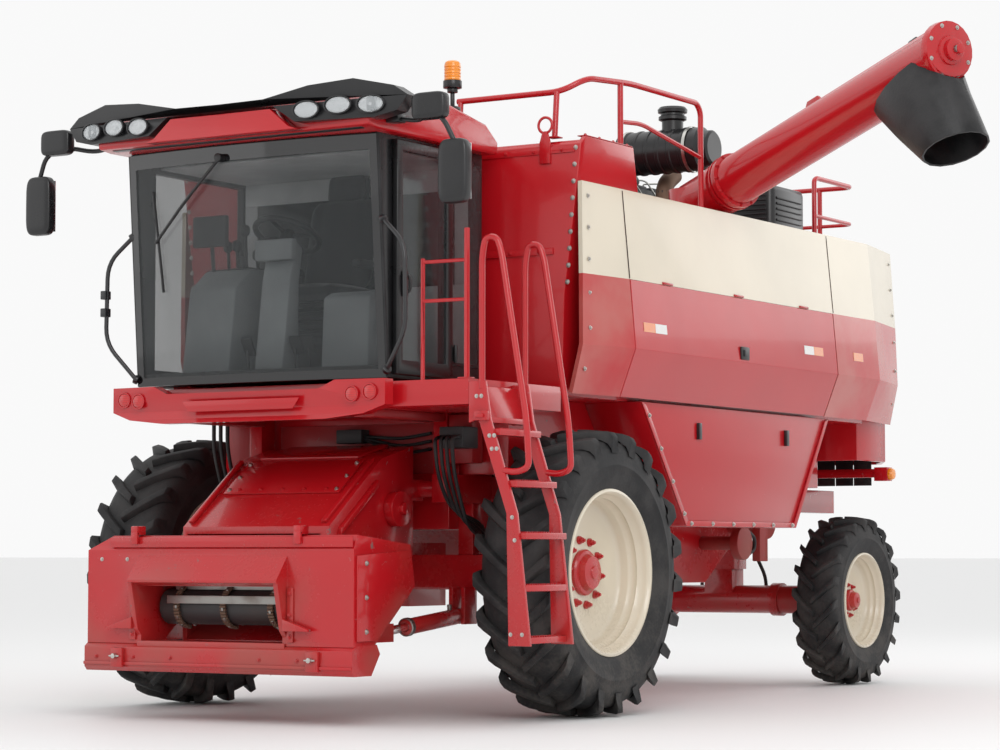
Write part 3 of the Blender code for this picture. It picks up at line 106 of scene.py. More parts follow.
# ---- node graphs ------------------------------------------------------------------------------
class Sock:
    """A node's output that takes part in arithmetic."""

    def __init__(self, graph: "Graph", socket: bpy.types.NodeSocket) -> None:
        """Wrap one socket of a graph."""
        self.graph = graph
        self.socket = socket

    def _math(self, operation: str, first: Any, second: Any) -> "Sock":
        """Add one Math node."""
        return self.graph.add("ShaderNodeMath", {"operation": operation}, {0: first, 1: second})

    def __add__(self, other: Any) -> "Sock":
        """Sum."""
        return self._math("ADD", self, other)

    __radd__ = __add__

    def __sub__(self, other: Any) -> "Sock":
        """Difference."""
        return self._math("SUBTRACT", self, other)

    def __rsub__(self, other: Any) -> "Sock":
        """Difference, reflected."""
        return self._math("SUBTRACT", other, self)

    def __mul__(self, other: Any) -> "Sock":
        """Product."""
        return self._math("MULTIPLY", self, other)

    __rmul__ = __mul__

    def __truediv__(self, other: Any) -> "Sock":
        """Quotient."""
        return self._math("DIVIDE", self, other)

    def __abs__(self) -> "Sock":
        """Size without its sign."""
        return self._math("ABSOLUTE", self, 0.0)

    def above(self, level: float) -> "Sock":
        """1 where the value is over a level."""
        return self._math("GREATER_THAN", self, level)

    def largest(self, other: Any) -> "Sock":
        """The larger of two values."""
        return self._math("MAXIMUM", self, other)

    def ramp(self, low: float, high: float) -> "Sock":
        """0 at low and 1 at high, held at both ends and eased between them."""
        return self.graph.add("ShaderNodeMapRange", {"interpolation_type": "SMOOTHSTEP"},
                              {"Value": self, "From Min": low, "From Max": high})


class Graph:
    """Adds nodes to a shader or geometry tree."""

    def __init__(self, tree: bpy.types.NodeTree) -> None:
        """Start on a tree."""
        self.tree = tree

    def add(self, kind: str, settings: Optional[Dict[str, Any]] = None,
            inputs: Optional[Dict[Union[int, str], Any]] = None, output: Union[int, str] = 0) -> Sock:
        """Add a node.

        Args:
            kind: The node's type.
            settings: Its properties, set first.
            inputs: Values or sockets by input name or number.
            output: The output that is returned.

        Returns:
            The chosen output.
        """
        node = self.tree.nodes.new(kind)
        for key, value in (settings or {}).items():
            setattr(node, key, value)
        for key, value in (inputs or {}).items():
            if isinstance(value, Sock):
                self.tree.links.new(value.socket, node.inputs[key])
            else:
                node.inputs[key].default_value = value
        return Sock(self, node.outputs[output])

    def place(self) -> Sock:
        """Object coordinates."""
        return self.add("ShaderNodeTexCoord", output="Object")

    def axes(self) -> Tuple[Sock, Sock, Sock]:
        """Object coordinates as X, Y and Z, counted in the design frame."""
        node = self.add("ShaderNodeSeparateXYZ", None, {0: self.place()}).socket.node
        return tuple(Sock(self, node.outputs[k]) - ORIGIN[k] for k in range(3))

    def noise(self, scale: float, detail: float = 3.0, stretch: Point = (1.0, 1.0, 1.0)) -> Sock:
        """Noise in object space, from about 0.3 to 0.7."""
        where = self.add("ShaderNodeMapping", None, {"Vector": self.place(), "Scale": stretch})
        return self.add("ShaderNodeTexNoise", None, {"Vector": where, "Scale": scale, "Detail": detail})

    def blend(self, factor: Any, first: Any, second: Any) -> Sock:
        """Mix two colours."""
        return self.add("ShaderNodeMix", {"data_type": "RGBA"},
                        {0: factor, 6: rgba(first), 7: rgba(second)}, 2)

    def bump(self, height: Sock, strength: float, distance: float) -> Sock:
        """A normal from a height."""
        return self.add("ShaderNodeBump", None, {"Height": height, "Strength": strength,
                                                 "Distance": distance})


def rgba(colour: Any) -> Any:
    """A colour with its alpha, or the socket as it is."""
    return colour if isinstance(colour, Sock) else (*colour, 1.0)


# ---- finishes ---------------------------------------------------------------------------------
@dataclass(frozen=True)
class Finish:
    """A finish with its record slot; each kind adds its own nodes."""

    name: str
    slot: str
    colour: Colour
    roughness: float = 0.4

    def material(self) -> bpy.types.Material:
        """The finish as a material, built once."""
        made = bpy.data.materials.get(self.name)
        if made is None:
            made = bpy.data.materials.new(self.name)
            made.use_nodes = True
            made.diffuse_color = rgba(self.colour)
            shader = made.node_tree.nodes["Principled BSDF"]
            values = {"Base Color": rgba(self.colour), "Roughness": self.roughness}
            values.update(self.sockets(Graph(made.node_tree)))
            for key, value in values.items():
                if isinstance(value, Sock):
                    made.node_tree.links.new(value.socket, shader.inputs[key])
                else:
                    shader.inputs[key].default_value = rgba(value) if key == "Base Color" else value
        return made

    def sockets(self, g: Graph) -> Dict[str, Any]:
        """Values and links of the shader's sockets."""
        return {}


@dataclass(frozen=True)
class Paint(Finish):
    """Gloss coat on sheet metal: faint waves, field dust low down and small chips."""

    roughness: float = 0.24
    coat: float = 0.35
    dust: float = 0.35
    chips: float = 0.0
    dust_colour: Colour = (0.20, 0.13, 0.09)
    chip_colour: Colour = (0.16, 0.13, 0.12)

    def base(self, g: Graph) -> Any:
        """The colour under the dust."""
        return self.colour

    def sockets(self, g: Graph) -> Dict[str, Any]:
        """Colour, gloss and relief."""
        _, _, height = g.axes()
        cloud = g.noise(1.7, 4.0)
        grain = g.noise(38.0, 5.0)
        low = (1.0 - height.ramp(0.10, 1.75)) * self.dust
        film = (low * (cloud * 2.0).ramp(0.55, 1.35) + grain.ramp(0.60, 0.85) * 0.10 * self.dust).ramp(0.0,
                                                                                                       1.0)
        shade = g.blend(cloud.ramp(0.30, 0.70) * 0.22, self.base(g), tuple(c * 0.72 for c in self.colour))
        colour = g.blend(film * 0.75, shade, self.dust_colour)
        rough = self.roughness + film * 0.45 + (grain - 0.5) * 0.10
        if self.chips > 0.0:
            chip = (g.noise(13.0, 9.0) + g.noise(85.0, 2.0) * 0.25).ramp(0.865 - 0.10 * self.chips, 0.90)
            colour = g.blend(chip * 0.85, colour, self.chip_colour)
            rough = rough + chip * 0.3
        waves = g.noise(2.6, 2.0) + grain * 0.010
        return {"Base Color": colour, "Roughness": rough, "Coat Weight": self.coat, "Coat Roughness": 0.06,
                "Normal": g.bump(waves, 0.22, 0.02)}


@dataclass(frozen=True)
class PanelPaint(Paint):
    """Side panel: one colour above the seam and another below it."""

    seam: float = 2.486
    below: Colour = (0.47, 0.006, 0.011)

    def base(self, g: Graph) -> Any:
        """Cream above the seam and red below."""
        return g.blend(g.axes()[2].above(self.seam), self.below, self.colour)


@dataclass(frozen=True)
class Rubber(Finish):
    """Moulded rubber with a dry bloom and fine grain."""

    roughness: float = 0.68
    bloom: float = 0.5

    def sockets(self, g: Graph) -> Dict[str, Any]:
        """Colour, gloss and relief."""
        cloud, grain = g.noise(5.0, 5.0), g.noise(60.0, 6.0)
        height = g.axes()[2]
        dust = (1.0 - height.ramp(0.0, 1.1)) * 0.45 + 0.18
        mask = (cloud + grain * 0.5).ramp(0.62, 0.95) * dust * self.bloom
        lighter = tuple(min(1.0, c * 2.3 + 0.010) for c in self.colour)
        colour = g.blend(mask, g.blend(cloud.ramp(0.35, 0.7) * 0.6, self.colour, lighter), (0.13, 0.11, 0.09))
        return {"Base Color": colour, "Roughness": self.roughness + (cloud - 0.5) * 0.25,
                "Specular IOR Level": 0.35, "Normal": g.bump(grain + g.noise(240.0, 2.0) * 0.4, 0.25, 0.004)}


@dataclass(frozen=True)
class Plastic(Finish):
    """Moulded plastic with a fine pebble grain."""

    roughness: float = 0.42
    pebble: float = 0.06

    def sockets(self, g: Graph) -> Dict[str, Any]:
        """Colour, gloss and relief."""
        cloud, pebble = g.noise(4.0, 4.0), g.noise(420.0, 2.0)
        light = tuple(min(1.0, c * 1.5 + 0.006) for c in self.colour)
        return {"Base Color": g.blend(cloud.ramp(0.35, 0.75) * 0.5, self.colour, light),
                "Roughness": self.roughness + (cloud - 0.5) * 0.22,
                "Normal": g.bump(pebble, self.pebble, 0.002)}


@dataclass(frozen=True)
class Metal(Finish):
    """Bare metal: worn, brushed or polished."""

    metallic: float = 1.0
    stain: float = 0.4
    stain_colour: Colour = (0.12, 0.075, 0.05)

    def sockets(self, g: Graph) -> Dict[str, Any]:
        """Colour, gloss and relief."""
        cloud, brushed = g.noise(7.0, 6.0), g.noise(90.0, 3.0, (1.0, 12.0, 1.0))
        mask = cloud.ramp(0.48, 0.72) * self.stain
        return {"Base Color": g.blend(mask, self.colour, self.stain_colour),
                "Roughness": self.roughness + mask * 0.4 + (brushed - 0.5) * 0.15,
                "Metallic": self.metallic - mask * 0.6, "Normal": g.bump(brushed, 0.10, 0.001)}


@dataclass(frozen=True)
class Pane(Finish):
    """Tinted cab glass, clearer face on, with an optional black border printed on it."""

    roughness: float = 0.03
    clear: float = 0.20
    border: Optional[Tuple[float, float, float]] = None

    def sockets(self, g: Graph) -> Dict[str, Any]:
        """Colour, clearness and gloss."""
        facing = g.add("ShaderNodeLayerWeight", None, {"Blend": 0.25}, "Facing")
        smear = g.noise(3.0, 4.0, (1.0, 1.0, 0.4)).ramp(0.45, 0.75)
        alpha = self.clear + facing * 0.55 + smear * 0.05
        colour: Any = self.colour
        if self.border is not None:
            side, low, high = self.border
            across, _, height = g.axes()
            edge = abs(across).above(side).largest(height.above(high)).largest(1.0 - height.above(low))
            alpha = alpha.largest(edge)
            colour = g.blend(edge, self.colour, (0.008, 0.008, 0.009))
        return {"Base Color": colour, "Alpha": alpha, "Roughness": self.roughness + smear * 0.03,
                "Specular IOR Level": 0.9}


@dataclass(frozen=True)
class Lens(Finish):
    """Coloured or clear lamp plastic with a moulded prism pattern."""

    roughness: float = 0.08
    alpha: float = 1.0
    ribs: float = 160.0

    def sockets(self, g: Graph) -> Dict[str, Any]:
        """Colour and relief."""
        ribs = g.add("ShaderNodeTexWave", {"bands_direction": "Z"},
                     {"Vector": g.place(), "Scale": self.ribs / 6.0})
        deep = tuple(c * 0.55 for c in self.colour)
        return {"Base Color": g.blend(ribs * 0.5, self.colour, deep), "Alpha": self.alpha,
                "Coat Weight": 0.8, "Normal": g.bump(ribs, 0.35, 0.002)}


@dataclass(frozen=True)
class Cloth(Finish):
    """Woven seat cover."""

    roughness: float = 0.85

    def sockets(self, g: Graph) -> Dict[str, Any]:
        """Colour, gloss and weave."""
        weave = g.add("ShaderNodeTexChecker", None, {"Vector": g.place(), "Scale": 420.0}, "Fac")
        cloud = g.noise(9.0, 4.0)
        light = tuple(c * 2.0 + 0.01 for c in self.colour)
        return {"Base Color": g.blend(weave * 0.08 + cloud * 0.3, self.colour, light), "Sheen Weight": 0.3,
                "Normal": g.bump(cloud, 0.15, 0.002)}


@dataclass(frozen=True)
class Ground(Finish):
    """Plain studio floor."""

    roughness: float = 0.6

    def sockets(self, g: Graph) -> Dict[str, Any]:
        """Almost even colour."""
        cloud = g.noise(0.6, 3.0)
        return {"Base Color": g.blend(cloud * 0.04, self.colour, (0.75, 0.75, 0.75))}


RED_RGB = (0.47, 0.006, 0.011)
RED = Paint("red_enamel", "red_paint", RED_RGB)
RED_WORN = Paint("red_enamel_worn", "red_paint", RED_RGB, chips=0.7, dust=0.5)
# Painted shade: a darker copy of the red for parts under the body and the cab, with heavy field dust and
# chips on top.
RED_SHADED_DUSTY = Paint("red_primer", "red_paint", (0.34, 0.007, 0.010), roughness=0.45, coat=0.1, dust=1.0,
                 chips=0.5)
CREAM = Paint("cream_enamel", "cream_paint", (0.72, 0.65, 0.52), dust=0.22)
PANEL = PanelPaint("panel_enamel", "cream_paint", (0.72, 0.65, 0.52), dust=0.15)
BLACK = Paint("black_enamel", "black_paint", (0.014, 0.014, 0.016), roughness=0.35, coat=0.3)
IRON = Paint("engine_enamel", "black_paint", (0.030, 0.030, 0.032), roughness=0.55, coat=0.0, chips=0.3)
TYRE = Rubber("tyre_tread", "tyre_rubber", (0.014, 0.014, 0.015))
HOSE = Rubber("hose_rubber", "black_rubber", (0.012, 0.012, 0.013), roughness=0.5)
SKIRT = Rubber("spout_rubber", "black_rubber", (0.010, 0.010, 0.011), roughness=0.42, bloom=0.2)
SEAL = Rubber("glazing_rubber", "black_rubber", (0.008, 0.008, 0.009), roughness=0.5, bloom=0.1)
# Painted shade: a very dark red laid along the door seams, where the gap is in shadow.
SHADOW = Rubber("joint_shadow", "black_rubber", (0.020, 0.004, 0.005), roughness=0.8, bloom=0.0)
MOULDED = Plastic("black_moulding", "black_plastic", (0.010, 0.010, 0.011), roughness=0.30)
TRIM = Plastic("grey_trim", "grey_plastic", (0.22, 0.24, 0.245), roughness=0.55)
TRIM_DARK = Plastic("dark_trim", "black_plastic", (0.020, 0.021, 0.022), roughness=0.5)
LINER = Plastic("cab_liner", "grey_plastic", (0.50, 0.51, 0.51), roughness=0.7)
FABRIC = Cloth("seat_cover", "seat_fabric", (0.018, 0.018, 0.020))
STEEL = Metal("worn_steel_plate", "worn_steel", (0.34, 0.33, 0.31), roughness=0.42)
ZINC = Metal("zinc_fastener", "worn_steel", (0.55, 0.54, 0.51), roughness=0.32, stain=0.15)
CHROME = Metal("hard_chrome", "polished_rod", (0.80, 0.80, 0.80), roughness=0.12, stain=0.05)
RUSTY = Metal("heat_stained_steel", "worn_steel", (0.20, 0.13, 0.09), roughness=0.6, metallic=0.6, stain=0.9)
SCREEN = Pane("windscreen_glass", "cab_glass", (0.030, 0.036, 0.038), border=(0.805, 1.905, 3.085))
GLASS = Pane("side_glass", "cab_glass", (0.030, 0.036, 0.038), clear=0.24)
MIRROR = Metal("mirror_glass", "polished_rod", (0.75, 0.77, 0.78), roughness=0.03, stain=0.0)
AMBER = Lens("amber_lamp", "amber_lens", (0.95, 0.30, 0.01))
RED_LENS = Lens("red_lamp", "red_paint", (0.55, 0.006, 0.008))
CLEAR = Lens("clear_lamp", "cab_glass", (0.70, 0.74, 0.76), alpha=0.35, ribs=420.0)
WHITE_TAPE = Lens("white_reflector", "cream_paint", (0.78, 0.78, 0.76), ribs=900.0)
AMBER_TAPE = Lens("amber_reflector", "amber_lens", (0.85, 0.22, 0.03), ribs=900.0)
FLOOR = Ground("studio_floor", "cream_paint", (0.84, 0.84, 0.84))


# ---- mesh work --------------------------------------------------------------------------------
FRAMES = {
    "X": Matrix(((0, 0, 1, 0), (1, 0, 0, 0), (0, 1, 0, 0), (0, 0, 0, 1))),
    "Y": Matrix(((1, 0, 0, 0), (0, 0, -1, 0), (0, 1, 0, 0), (0, 0, 0, 1))),
    "Z": Matrix.Identity(4),
}


def dress(obj: bpy.types.Object, finish: Finish, body: Optional[str],
          angle: float = 32.0) -> bpy.types.Object:
    """Give an object its material, its smooth rounds and its body.

    Args:
        obj: The finished mesh, already in the row frame.
        finish: What it is made of.
        body: The body it rides on, or None.
        angle: Edges sharper than this many degrees stay sharp.

    Returns:
        The same object.
    """
    obj.data.materials.clear()
    obj.data.materials.append(finish.material())
    obj.data.polygons.foreach_set("use_smooth", [True] * len(obj.data.polygons))
    obj.data.set_sharp_from_angle(angle=math.radians(angle))
    if body is not None:
        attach(obj, body)
        LOG.info("%s: %d faces on %s", obj.name, len(obj.data.polygons), body)
    return obj


def rounded(points: Sequence[Point], radius: float, steps: int = 5, closed: bool = False) -> List[Vector]:
    """A path with its corners rounded off.

    Args:
        points: The corners.
        radius: How far from a corner the bend starts, at most.
        steps: Points along each bend.
        closed: True where the path returns to its start.

    Returns:
        The finer path.
    """
    corners = [Vector(p) for p in points]
    path: List[Vector] = [] if closed else [corners[0]]
    count = len(corners)
    for index in range(0 if closed else 1, count if closed else count - 1):
        before, corner, after = corners[index - 1], corners[index], corners[(index + 1) % count]
        back, ahead = before - corner, after - corner
        reach = min(radius, back.length * 0.48, ahead.length * 0.48)
        start, end = corner + back.normalized() * reach, corner + ahead.normalized() * reach
        for step in range(steps + 1):
            t = step / steps
            path.append(start * (1 - t) ** 2 + corner * 2 * t * (1 - t) + end * t ** 2)
    if not closed:
        path.append(corners[-1])
    return path


class Shaper:
    """Collects closed shapes of one finish on one body into one mesh."""

    def __init__(self, name: str, body: Optional[str], finish: Finish, edge: float = 0.004) -> None:
        """Start an empty piece.

        Args:
            name: The object's name.
            body: The body it rides on.
            finish: Its finish.
            edge: Width of the rounding on sharp edges.
        """
        self.name, self.body, self.finish, self.edge = name, body, finish, edge
        self.bm = bmesh.new()

    def _take(self, bm: bmesh.types.BMesh, edge: Optional[float] = None,
              turn: Optional[Matrix] = None) -> "Shaper":
        """Round a new shape's edges and add it to the piece."""
        width = self.edge if edge is None else edge
        bmesh.ops.recalc_face_normals(bm, faces=bm.faces)
        if width > 0.0:
            sharp = [e for e in bm.edges if len(e.link_faces) == 2 and e.calc_face_angle(0.0) > 0.6]
            bmesh.ops.bevel(bm, geom=sharp, offset=width, offset_type="OFFSET", segments=2, profile=0.5,
                            affect="EDGES", clamp_overlap=True)
        if turn is not None:
            bmesh.ops.transform(bm, matrix=turn, verts=bm.verts)
        mesh = bpy.data.meshes.new("shape")
        bm.to_mesh(mesh)
        bm.free()
        self.bm.from_mesh(mesh)
        bpy.data.meshes.remove(mesh)
        return self

    def box(self, low: Point, high: Point, edge: Optional[float] = None,
            turn: Optional[Matrix] = None) -> "Shaper":
        """A block between two corners."""
        bm = bmesh.new()
        bmesh.ops.create_cube(bm, size=1.0)
        first, second = Vector(low), Vector(high)
        bmesh.ops.scale(bm, vec=second - first, verts=bm.verts)
        bmesh.ops.translate(bm, vec=(first + second) / 2, verts=bm.verts)
        return self._take(bm, edge, turn)

    def prism(self, outline: Outline, axis: str, low: float, high: float, edge: Optional[float] = None,
              turn: Optional[Matrix] = None) -> "Shaper":
        """A flat outline extruded along X (y, z points), Y (x, z points) or Z (x, y points)."""
        bm = bmesh.new()
        sign = -1.0 if axis == "Y" else 1.0
        ends = [bm.faces.new([bm.verts.new((u, v, level * sign)) for u, v in outline]) for level in (low,
                                                                                                     high)]
        first, second = list(ends[0].verts), list(ends[1].verts)
        for k in range(len(first)):
            n = (k + 1) % len(first)
            bm.faces.new((first[k], first[n], second[n], second[k]))
        bmesh.ops.transform(bm, matrix=FRAMES[axis], verts=bm.verts)
        return self._take(bm, edge, turn)

    def rod(self, start: Point, end: Point, radius: float, end_radius: Optional[float] = None,
            sides: int = 24,
            edge: Optional[float] = None) -> "Shaper":
        """A round bar or cone between two points."""
        first, second = Vector(start), Vector(end)
        along = second - first
        bm = bmesh.new()
        bmesh.ops.create_cone(bm, cap_ends=True, segments=sides, radius1=radius, depth=along.length,
                              radius2=radius if end_radius is None else end_radius)
        turn = Matrix.Translation((first + second) / 2) @ along.to_track_quat("Z", "Y").to_matrix().to_4x4()
        bmesh.ops.transform(bm, matrix=turn, verts=bm.verts)
        return self._take(bm, edge)

    def pipe(self, points: Sequence[Point], radius: float, bend: float = 0.06, sides: int = 12,
             closed: bool = False) -> "Shaper":
        """A bent tube along a path, with rounded bends and filled ends."""
        path = rounded(points, bend, closed=closed)
        bm = bmesh.new()
        rings: List[List[bmesh.types.BMVert]] = []
        count = len(path)
        ahead = (path[1] - path[0]).normalized()
        side = ahead.orthogonal().normalized()
        for index, place in enumerate(path):
            before = path[index - 1] if closed or index else place
            after = path[(index + 1) % count] if closed or index < count - 1 else place
            ahead = (after - before).normalized()
            side = (side - ahead * side.dot(ahead)).normalized()
            up = ahead.cross(side)
            rings.append([bm.verts.new(place + (side * math.cos(math.tau * k / sides)
                                                + up * math.sin(math.tau * k / sides)) * radius)
                          for k in range(sides)])
        pairs = list(zip(rings, rings[1:])) + ([(rings[-1], rings[0])] if closed else [])
        for first, second in pairs:
            for k in range(sides):
                n = (k + 1) % sides
                bm.faces.new((first[k], first[n], second[n], second[k]))
        if not closed:
            bm.faces.new(rings[0])
            bm.faces.new(rings[-1])
        return self._take(bm, 0.0)

    def lathe(self, profile: Outline, centre: Point, axis: Point = (1.0, 0.0, 0.0),
              steps: int = 48) -> "Shaper":
        """A closed (radius, distance) profile turned about an axis; a radius of 0 makes a pole."""
        bm = bmesh.new()
        turn = Vector(axis).to_track_quat("Z", "Y").to_matrix().to_4x4()
        rings: List[List[bmesh.types.BMVert]] = []
        for radius, offset in profile:
            if radius < 1e-6:
                rings.append([bm.verts.new((0.0, 0.0, offset))])
            else:
                rings.append([bm.verts.new((radius * math.cos(math.tau * k / steps),
                                            radius * math.sin(math.tau * k / steps), offset))
                              for k in range(steps)])
        for first, second in zip(rings, rings[1:] + rings[:1]):
            if len(first) == 1 and len(second) == 1:
                continue
            for k in range(steps):
                n = (k + 1) % steps
                ring = [first[k % len(first)], first[n % len(first)], second[n % len(second)],
                        second[k % len(second)]]
                bm.faces.new(list(dict.fromkeys(ring)))
        bmesh.ops.transform(bm, matrix=Matrix.Translation(centre) @ turn, verts=bm.verts)
        return self._take(bm, 0.0)

    def blob(self, centre: Point, size: Point, power: float = 2.0, steps: int = 20) -> "Shaper":
        """A rounded lump; a power over 2 squares it off."""
        bm = bmesh.new()
        bmesh.ops.create_uvsphere(bm, u_segments=steps, v_segments=steps // 2, radius=1.0)
        for vertex in bm.verts:
            for k in range(3):
                value = vertex.co[k]
                vertex.co[k] = math.copysign(abs(value) ** (2.0 / power), value) * size[k]
        bmesh.ops.translate(bm, vec=centre, verts=bm.verts)
        return self._take(bm, 0.0)

    def bent(self, change: Any) -> "Shaper":
        """Move every point so far by a function of its place."""
        for vertex in self.bm.verts:
            vertex.co = change(vertex.co)
        return self

    def done(self, *stands_for: str, angle: float = 32.0, level: int = 0) -> bpy.types.Object:
        """Finish the piece.

        Args:
            stands_for: CAD nodes that it replaces.
            angle: Edges sharper than this stay sharp.
            level: Subdivision levels, made real.

        Returns:
            The new object.
        """
        mesh = bpy.data.meshes.new(self.name)
        self.bm.to_mesh(mesh)
        self.bm.free()
        mesh.transform(PLACE)
        obj = bpy.data.objects.new(self.name, mesh)
        bpy.context.scene.collection.objects.link(obj)
        if level:
            rounds = obj.modifiers.new("Rounds", "SUBSURF")
            rounds.levels = rounds.render_levels = level
            bake(obj)
        dress(obj, self.finish, self.body, angle)
        if stands_for:
            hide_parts(*stands_for)
        return obj


def bake(obj: bpy.types.Object) -> bpy.types.Object:
    """Make an object's modifiers real and remove them."""
    bpy.context.view_layer.update()
    graph = bpy.context.evaluated_depsgraph_get()
    mesh = bpy.data.meshes.new_from_object(obj.evaluated_get(graph))
    mesh.name = obj.name
    obj.modifiers.clear()
    obj.data = mesh
    return obj


def refine(node: str, finish: Finish, edge: float = 0.004, angle: float = 32.0) -> bpy.types.Object:
    """Replace a CAD node by a merged copy with rounded edges and a finish.

    Args:
        node: The CAD node.
        finish: Its finish.
        edge: Width of the rounding.
        angle: Edges sharper than this many degrees are rounded or stay sharp.

    Returns:
        The copy.
    """
    source = frame["nodes"][node]
    obj = bpy.data.objects.new(f"{node}_skin", source.data.copy())
    bpy.context.scene.collection.objects.link(obj)
    bm = bmesh.new()
    bm.from_mesh(obj.data)
    bmesh.ops.remove_doubles(bm, verts=bm.verts, dist=0.00002)
    bmesh.ops.dissolve_limit(bm, angle_limit=math.radians(0.6), verts=bm.verts, edges=bm.edges)
    bm.to_mesh(obj.data)
    bm.free()
    if edge > 0.0:
        rounds = obj.modifiers.new("Edges", "BEVEL")
        rounds.width, rounds.segments = edge, 2
        rounds.limit_method, rounds.angle_limit = "ANGLE", math.radians(angle)
        rounds.use_clamp_overlap = True
        bake(obj)
    dress(obj, finish, source["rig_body"], angle)
    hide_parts(node)
    return obj


# ---- repeats ----------------------------------------------------------------------------------
class Repeat(Enum):
    """What a repeat tree follows."""

    RING = "ring"
    ROW = "row"
    POINTS = "points"


class RepeatTree:
    """A geometry node tree that repeats one small piece in a ring, a row or at given points."""

    SOCKETS = {
        Repeat.RING: (("Piece", "NodeSocketObject"), ("Count", "NodeSocketInt"),
                      ("Centre", "NodeSocketVector"),
                      ("Phase", "NodeSocketFloat"), ("Finish", "NodeSocketMaterial")),
        Repeat.ROW: (("Piece", "NodeSocketObject"), ("Count", "NodeSocketInt"), ("Step", "NodeSocketVector"),
                     ("Finish", "NodeSocketMaterial")),
        Repeat.POINTS: (("Piece", "NodeSocketObject"), ("Finish", "NodeSocketMaterial")),
    }
    made: Dict[Repeat, "RepeatTree"] = {}

    def __init__(self, kind: Repeat) -> None:
        """Build the tree.

        Args:
            kind: What the pieces follow.
        """
        self.tree = bpy.data.node_groups.new(f"repeat_{kind.value}", "GeometryNodeTree")
        self.kind = kind
        face = self.tree.interface
        face.new_socket("Geometry", in_out="INPUT", socket_type="NodeSocketGeometry")
        for name, socket_type in self.SOCKETS[kind]:
            face.new_socket(name, in_out="INPUT", socket_type=socket_type)
        face.new_socket("Geometry", in_out="OUTPUT", socket_type="NodeSocketGeometry")
        g = Graph(self.tree)
        entry = self.tree.nodes.new("NodeGroupInput")
        asked = {s.name: Sock(g, s) for s in entry.outputs if s.name}
        piece = g.add("GeometryNodeObjectInfo", None, {"Object": asked["Piece"]}, "Geometry")
        if kind is Repeat.POINTS:
            facing = g.add("GeometryNodeInputNamedAttribute", {"data_type": "FLOAT_VECTOR"},
                           {"Name": "facing"})
            spots: Sock = g.add("GeometryNodeMeshToPoints", None, {"Mesh": asked["Geometry"]})
            turn = g.add("FunctionNodeAlignRotationToVector", {"axis": "Z"}, {"Vector": facing})
        elif kind is Repeat.RING:
            spots = g.add("GeometryNodeMeshLine", None,
                          {"Count": asked["Count"], "Start Location": asked["Centre"],
                           "Offset": (0.0, 0.0, 0.0)})
            angle = g.add("GeometryNodeInputIndex") * math.tau / asked["Count"] + asked["Phase"]
            turn = g.add("ShaderNodeCombineXYZ", None, {"X": angle})
        else:
            spots = g.add("GeometryNodeMeshLine", None, {"Count": asked["Count"], "Offset": asked["Step"]})
            turn = g.add("ShaderNodeCombineXYZ")
        copies = g.add("GeometryNodeInstanceOnPoints", None,
                       {"Points": spots, "Instance": piece, "Rotation": turn})
        real = g.add("GeometryNodeRealizeInstances", None, {"Geometry": copies})
        dressed = g.add("GeometryNodeSetMaterial", None, {"Geometry": real, "Material": asked["Finish"]})
        leave = self.tree.nodes.new("NodeGroupOutput")
        self.tree.links.new(dressed.socket, leave.inputs[0])

    @classmethod
    def of(cls, kind: Repeat) -> "RepeatTree":
        """The one tree of a kind."""
        if kind not in cls.made:
            cls.made[kind] = cls(kind)
        return cls.made[kind]

    def run(self, name: str, body: str, finish: Finish, piece: bpy.types.Object,
            values: Optional[Dict[str, Any]] = None,
            points: Optional[Sequence[Tuple[Vector, Vector]]] = None,
            angle: float = 32.0) -> bpy.types.Object:
        """Repeat a piece and keep the result as a plain mesh.

        Args:
            name: The new object's name.
            body: The body it rides on.
            finish: Its finish.
            piece: The small object that is repeated, about its own origin.
            values: The tree's other inputs by name.
            points: Places and directions, for the points tree.
            angle: Edges sharper than this stay sharp.

        Returns:
            The new object.
        """
        mesh = bpy.data.meshes.new(name)
        mesh.from_pydata([tuple(place + ORIGIN) for place, _ in points or [(Vector(), Vector())]], [], [])
        if points:
            facing = mesh.attributes.new("facing", "FLOAT_VECTOR", "POINT")
            facing.data.foreach_set("vector", [c for _, normal in points for c in normal])
        obj = bpy.data.objects.new(name, mesh)
        bpy.context.scene.collection.objects.link(obj)
        modifier = obj.modifiers.new("Repeat", "NODES")
        modifier.node_group = self.tree
        given = dict(values or {}, Piece=piece, Finish=finish.material())
        for item in self.tree.interface.items_tree:
            if item.in_out == "INPUT" and item.name in given:
                modifier[item.identifier] = given[item.name]
        bake(obj)
        dress(obj, finish, body, angle)
        return obj


def loose(shaper: Shaper) -> bpy.types.Object:
    """A shaper's mesh about its own origin, hidden, for a repeat tree."""
    mesh = bpy.data.meshes.new(shaper.name)
    shaper.bm.to_mesh(mesh)
    shaper.bm.free()
    return bpy.data.objects.new(shaper.name, mesh)


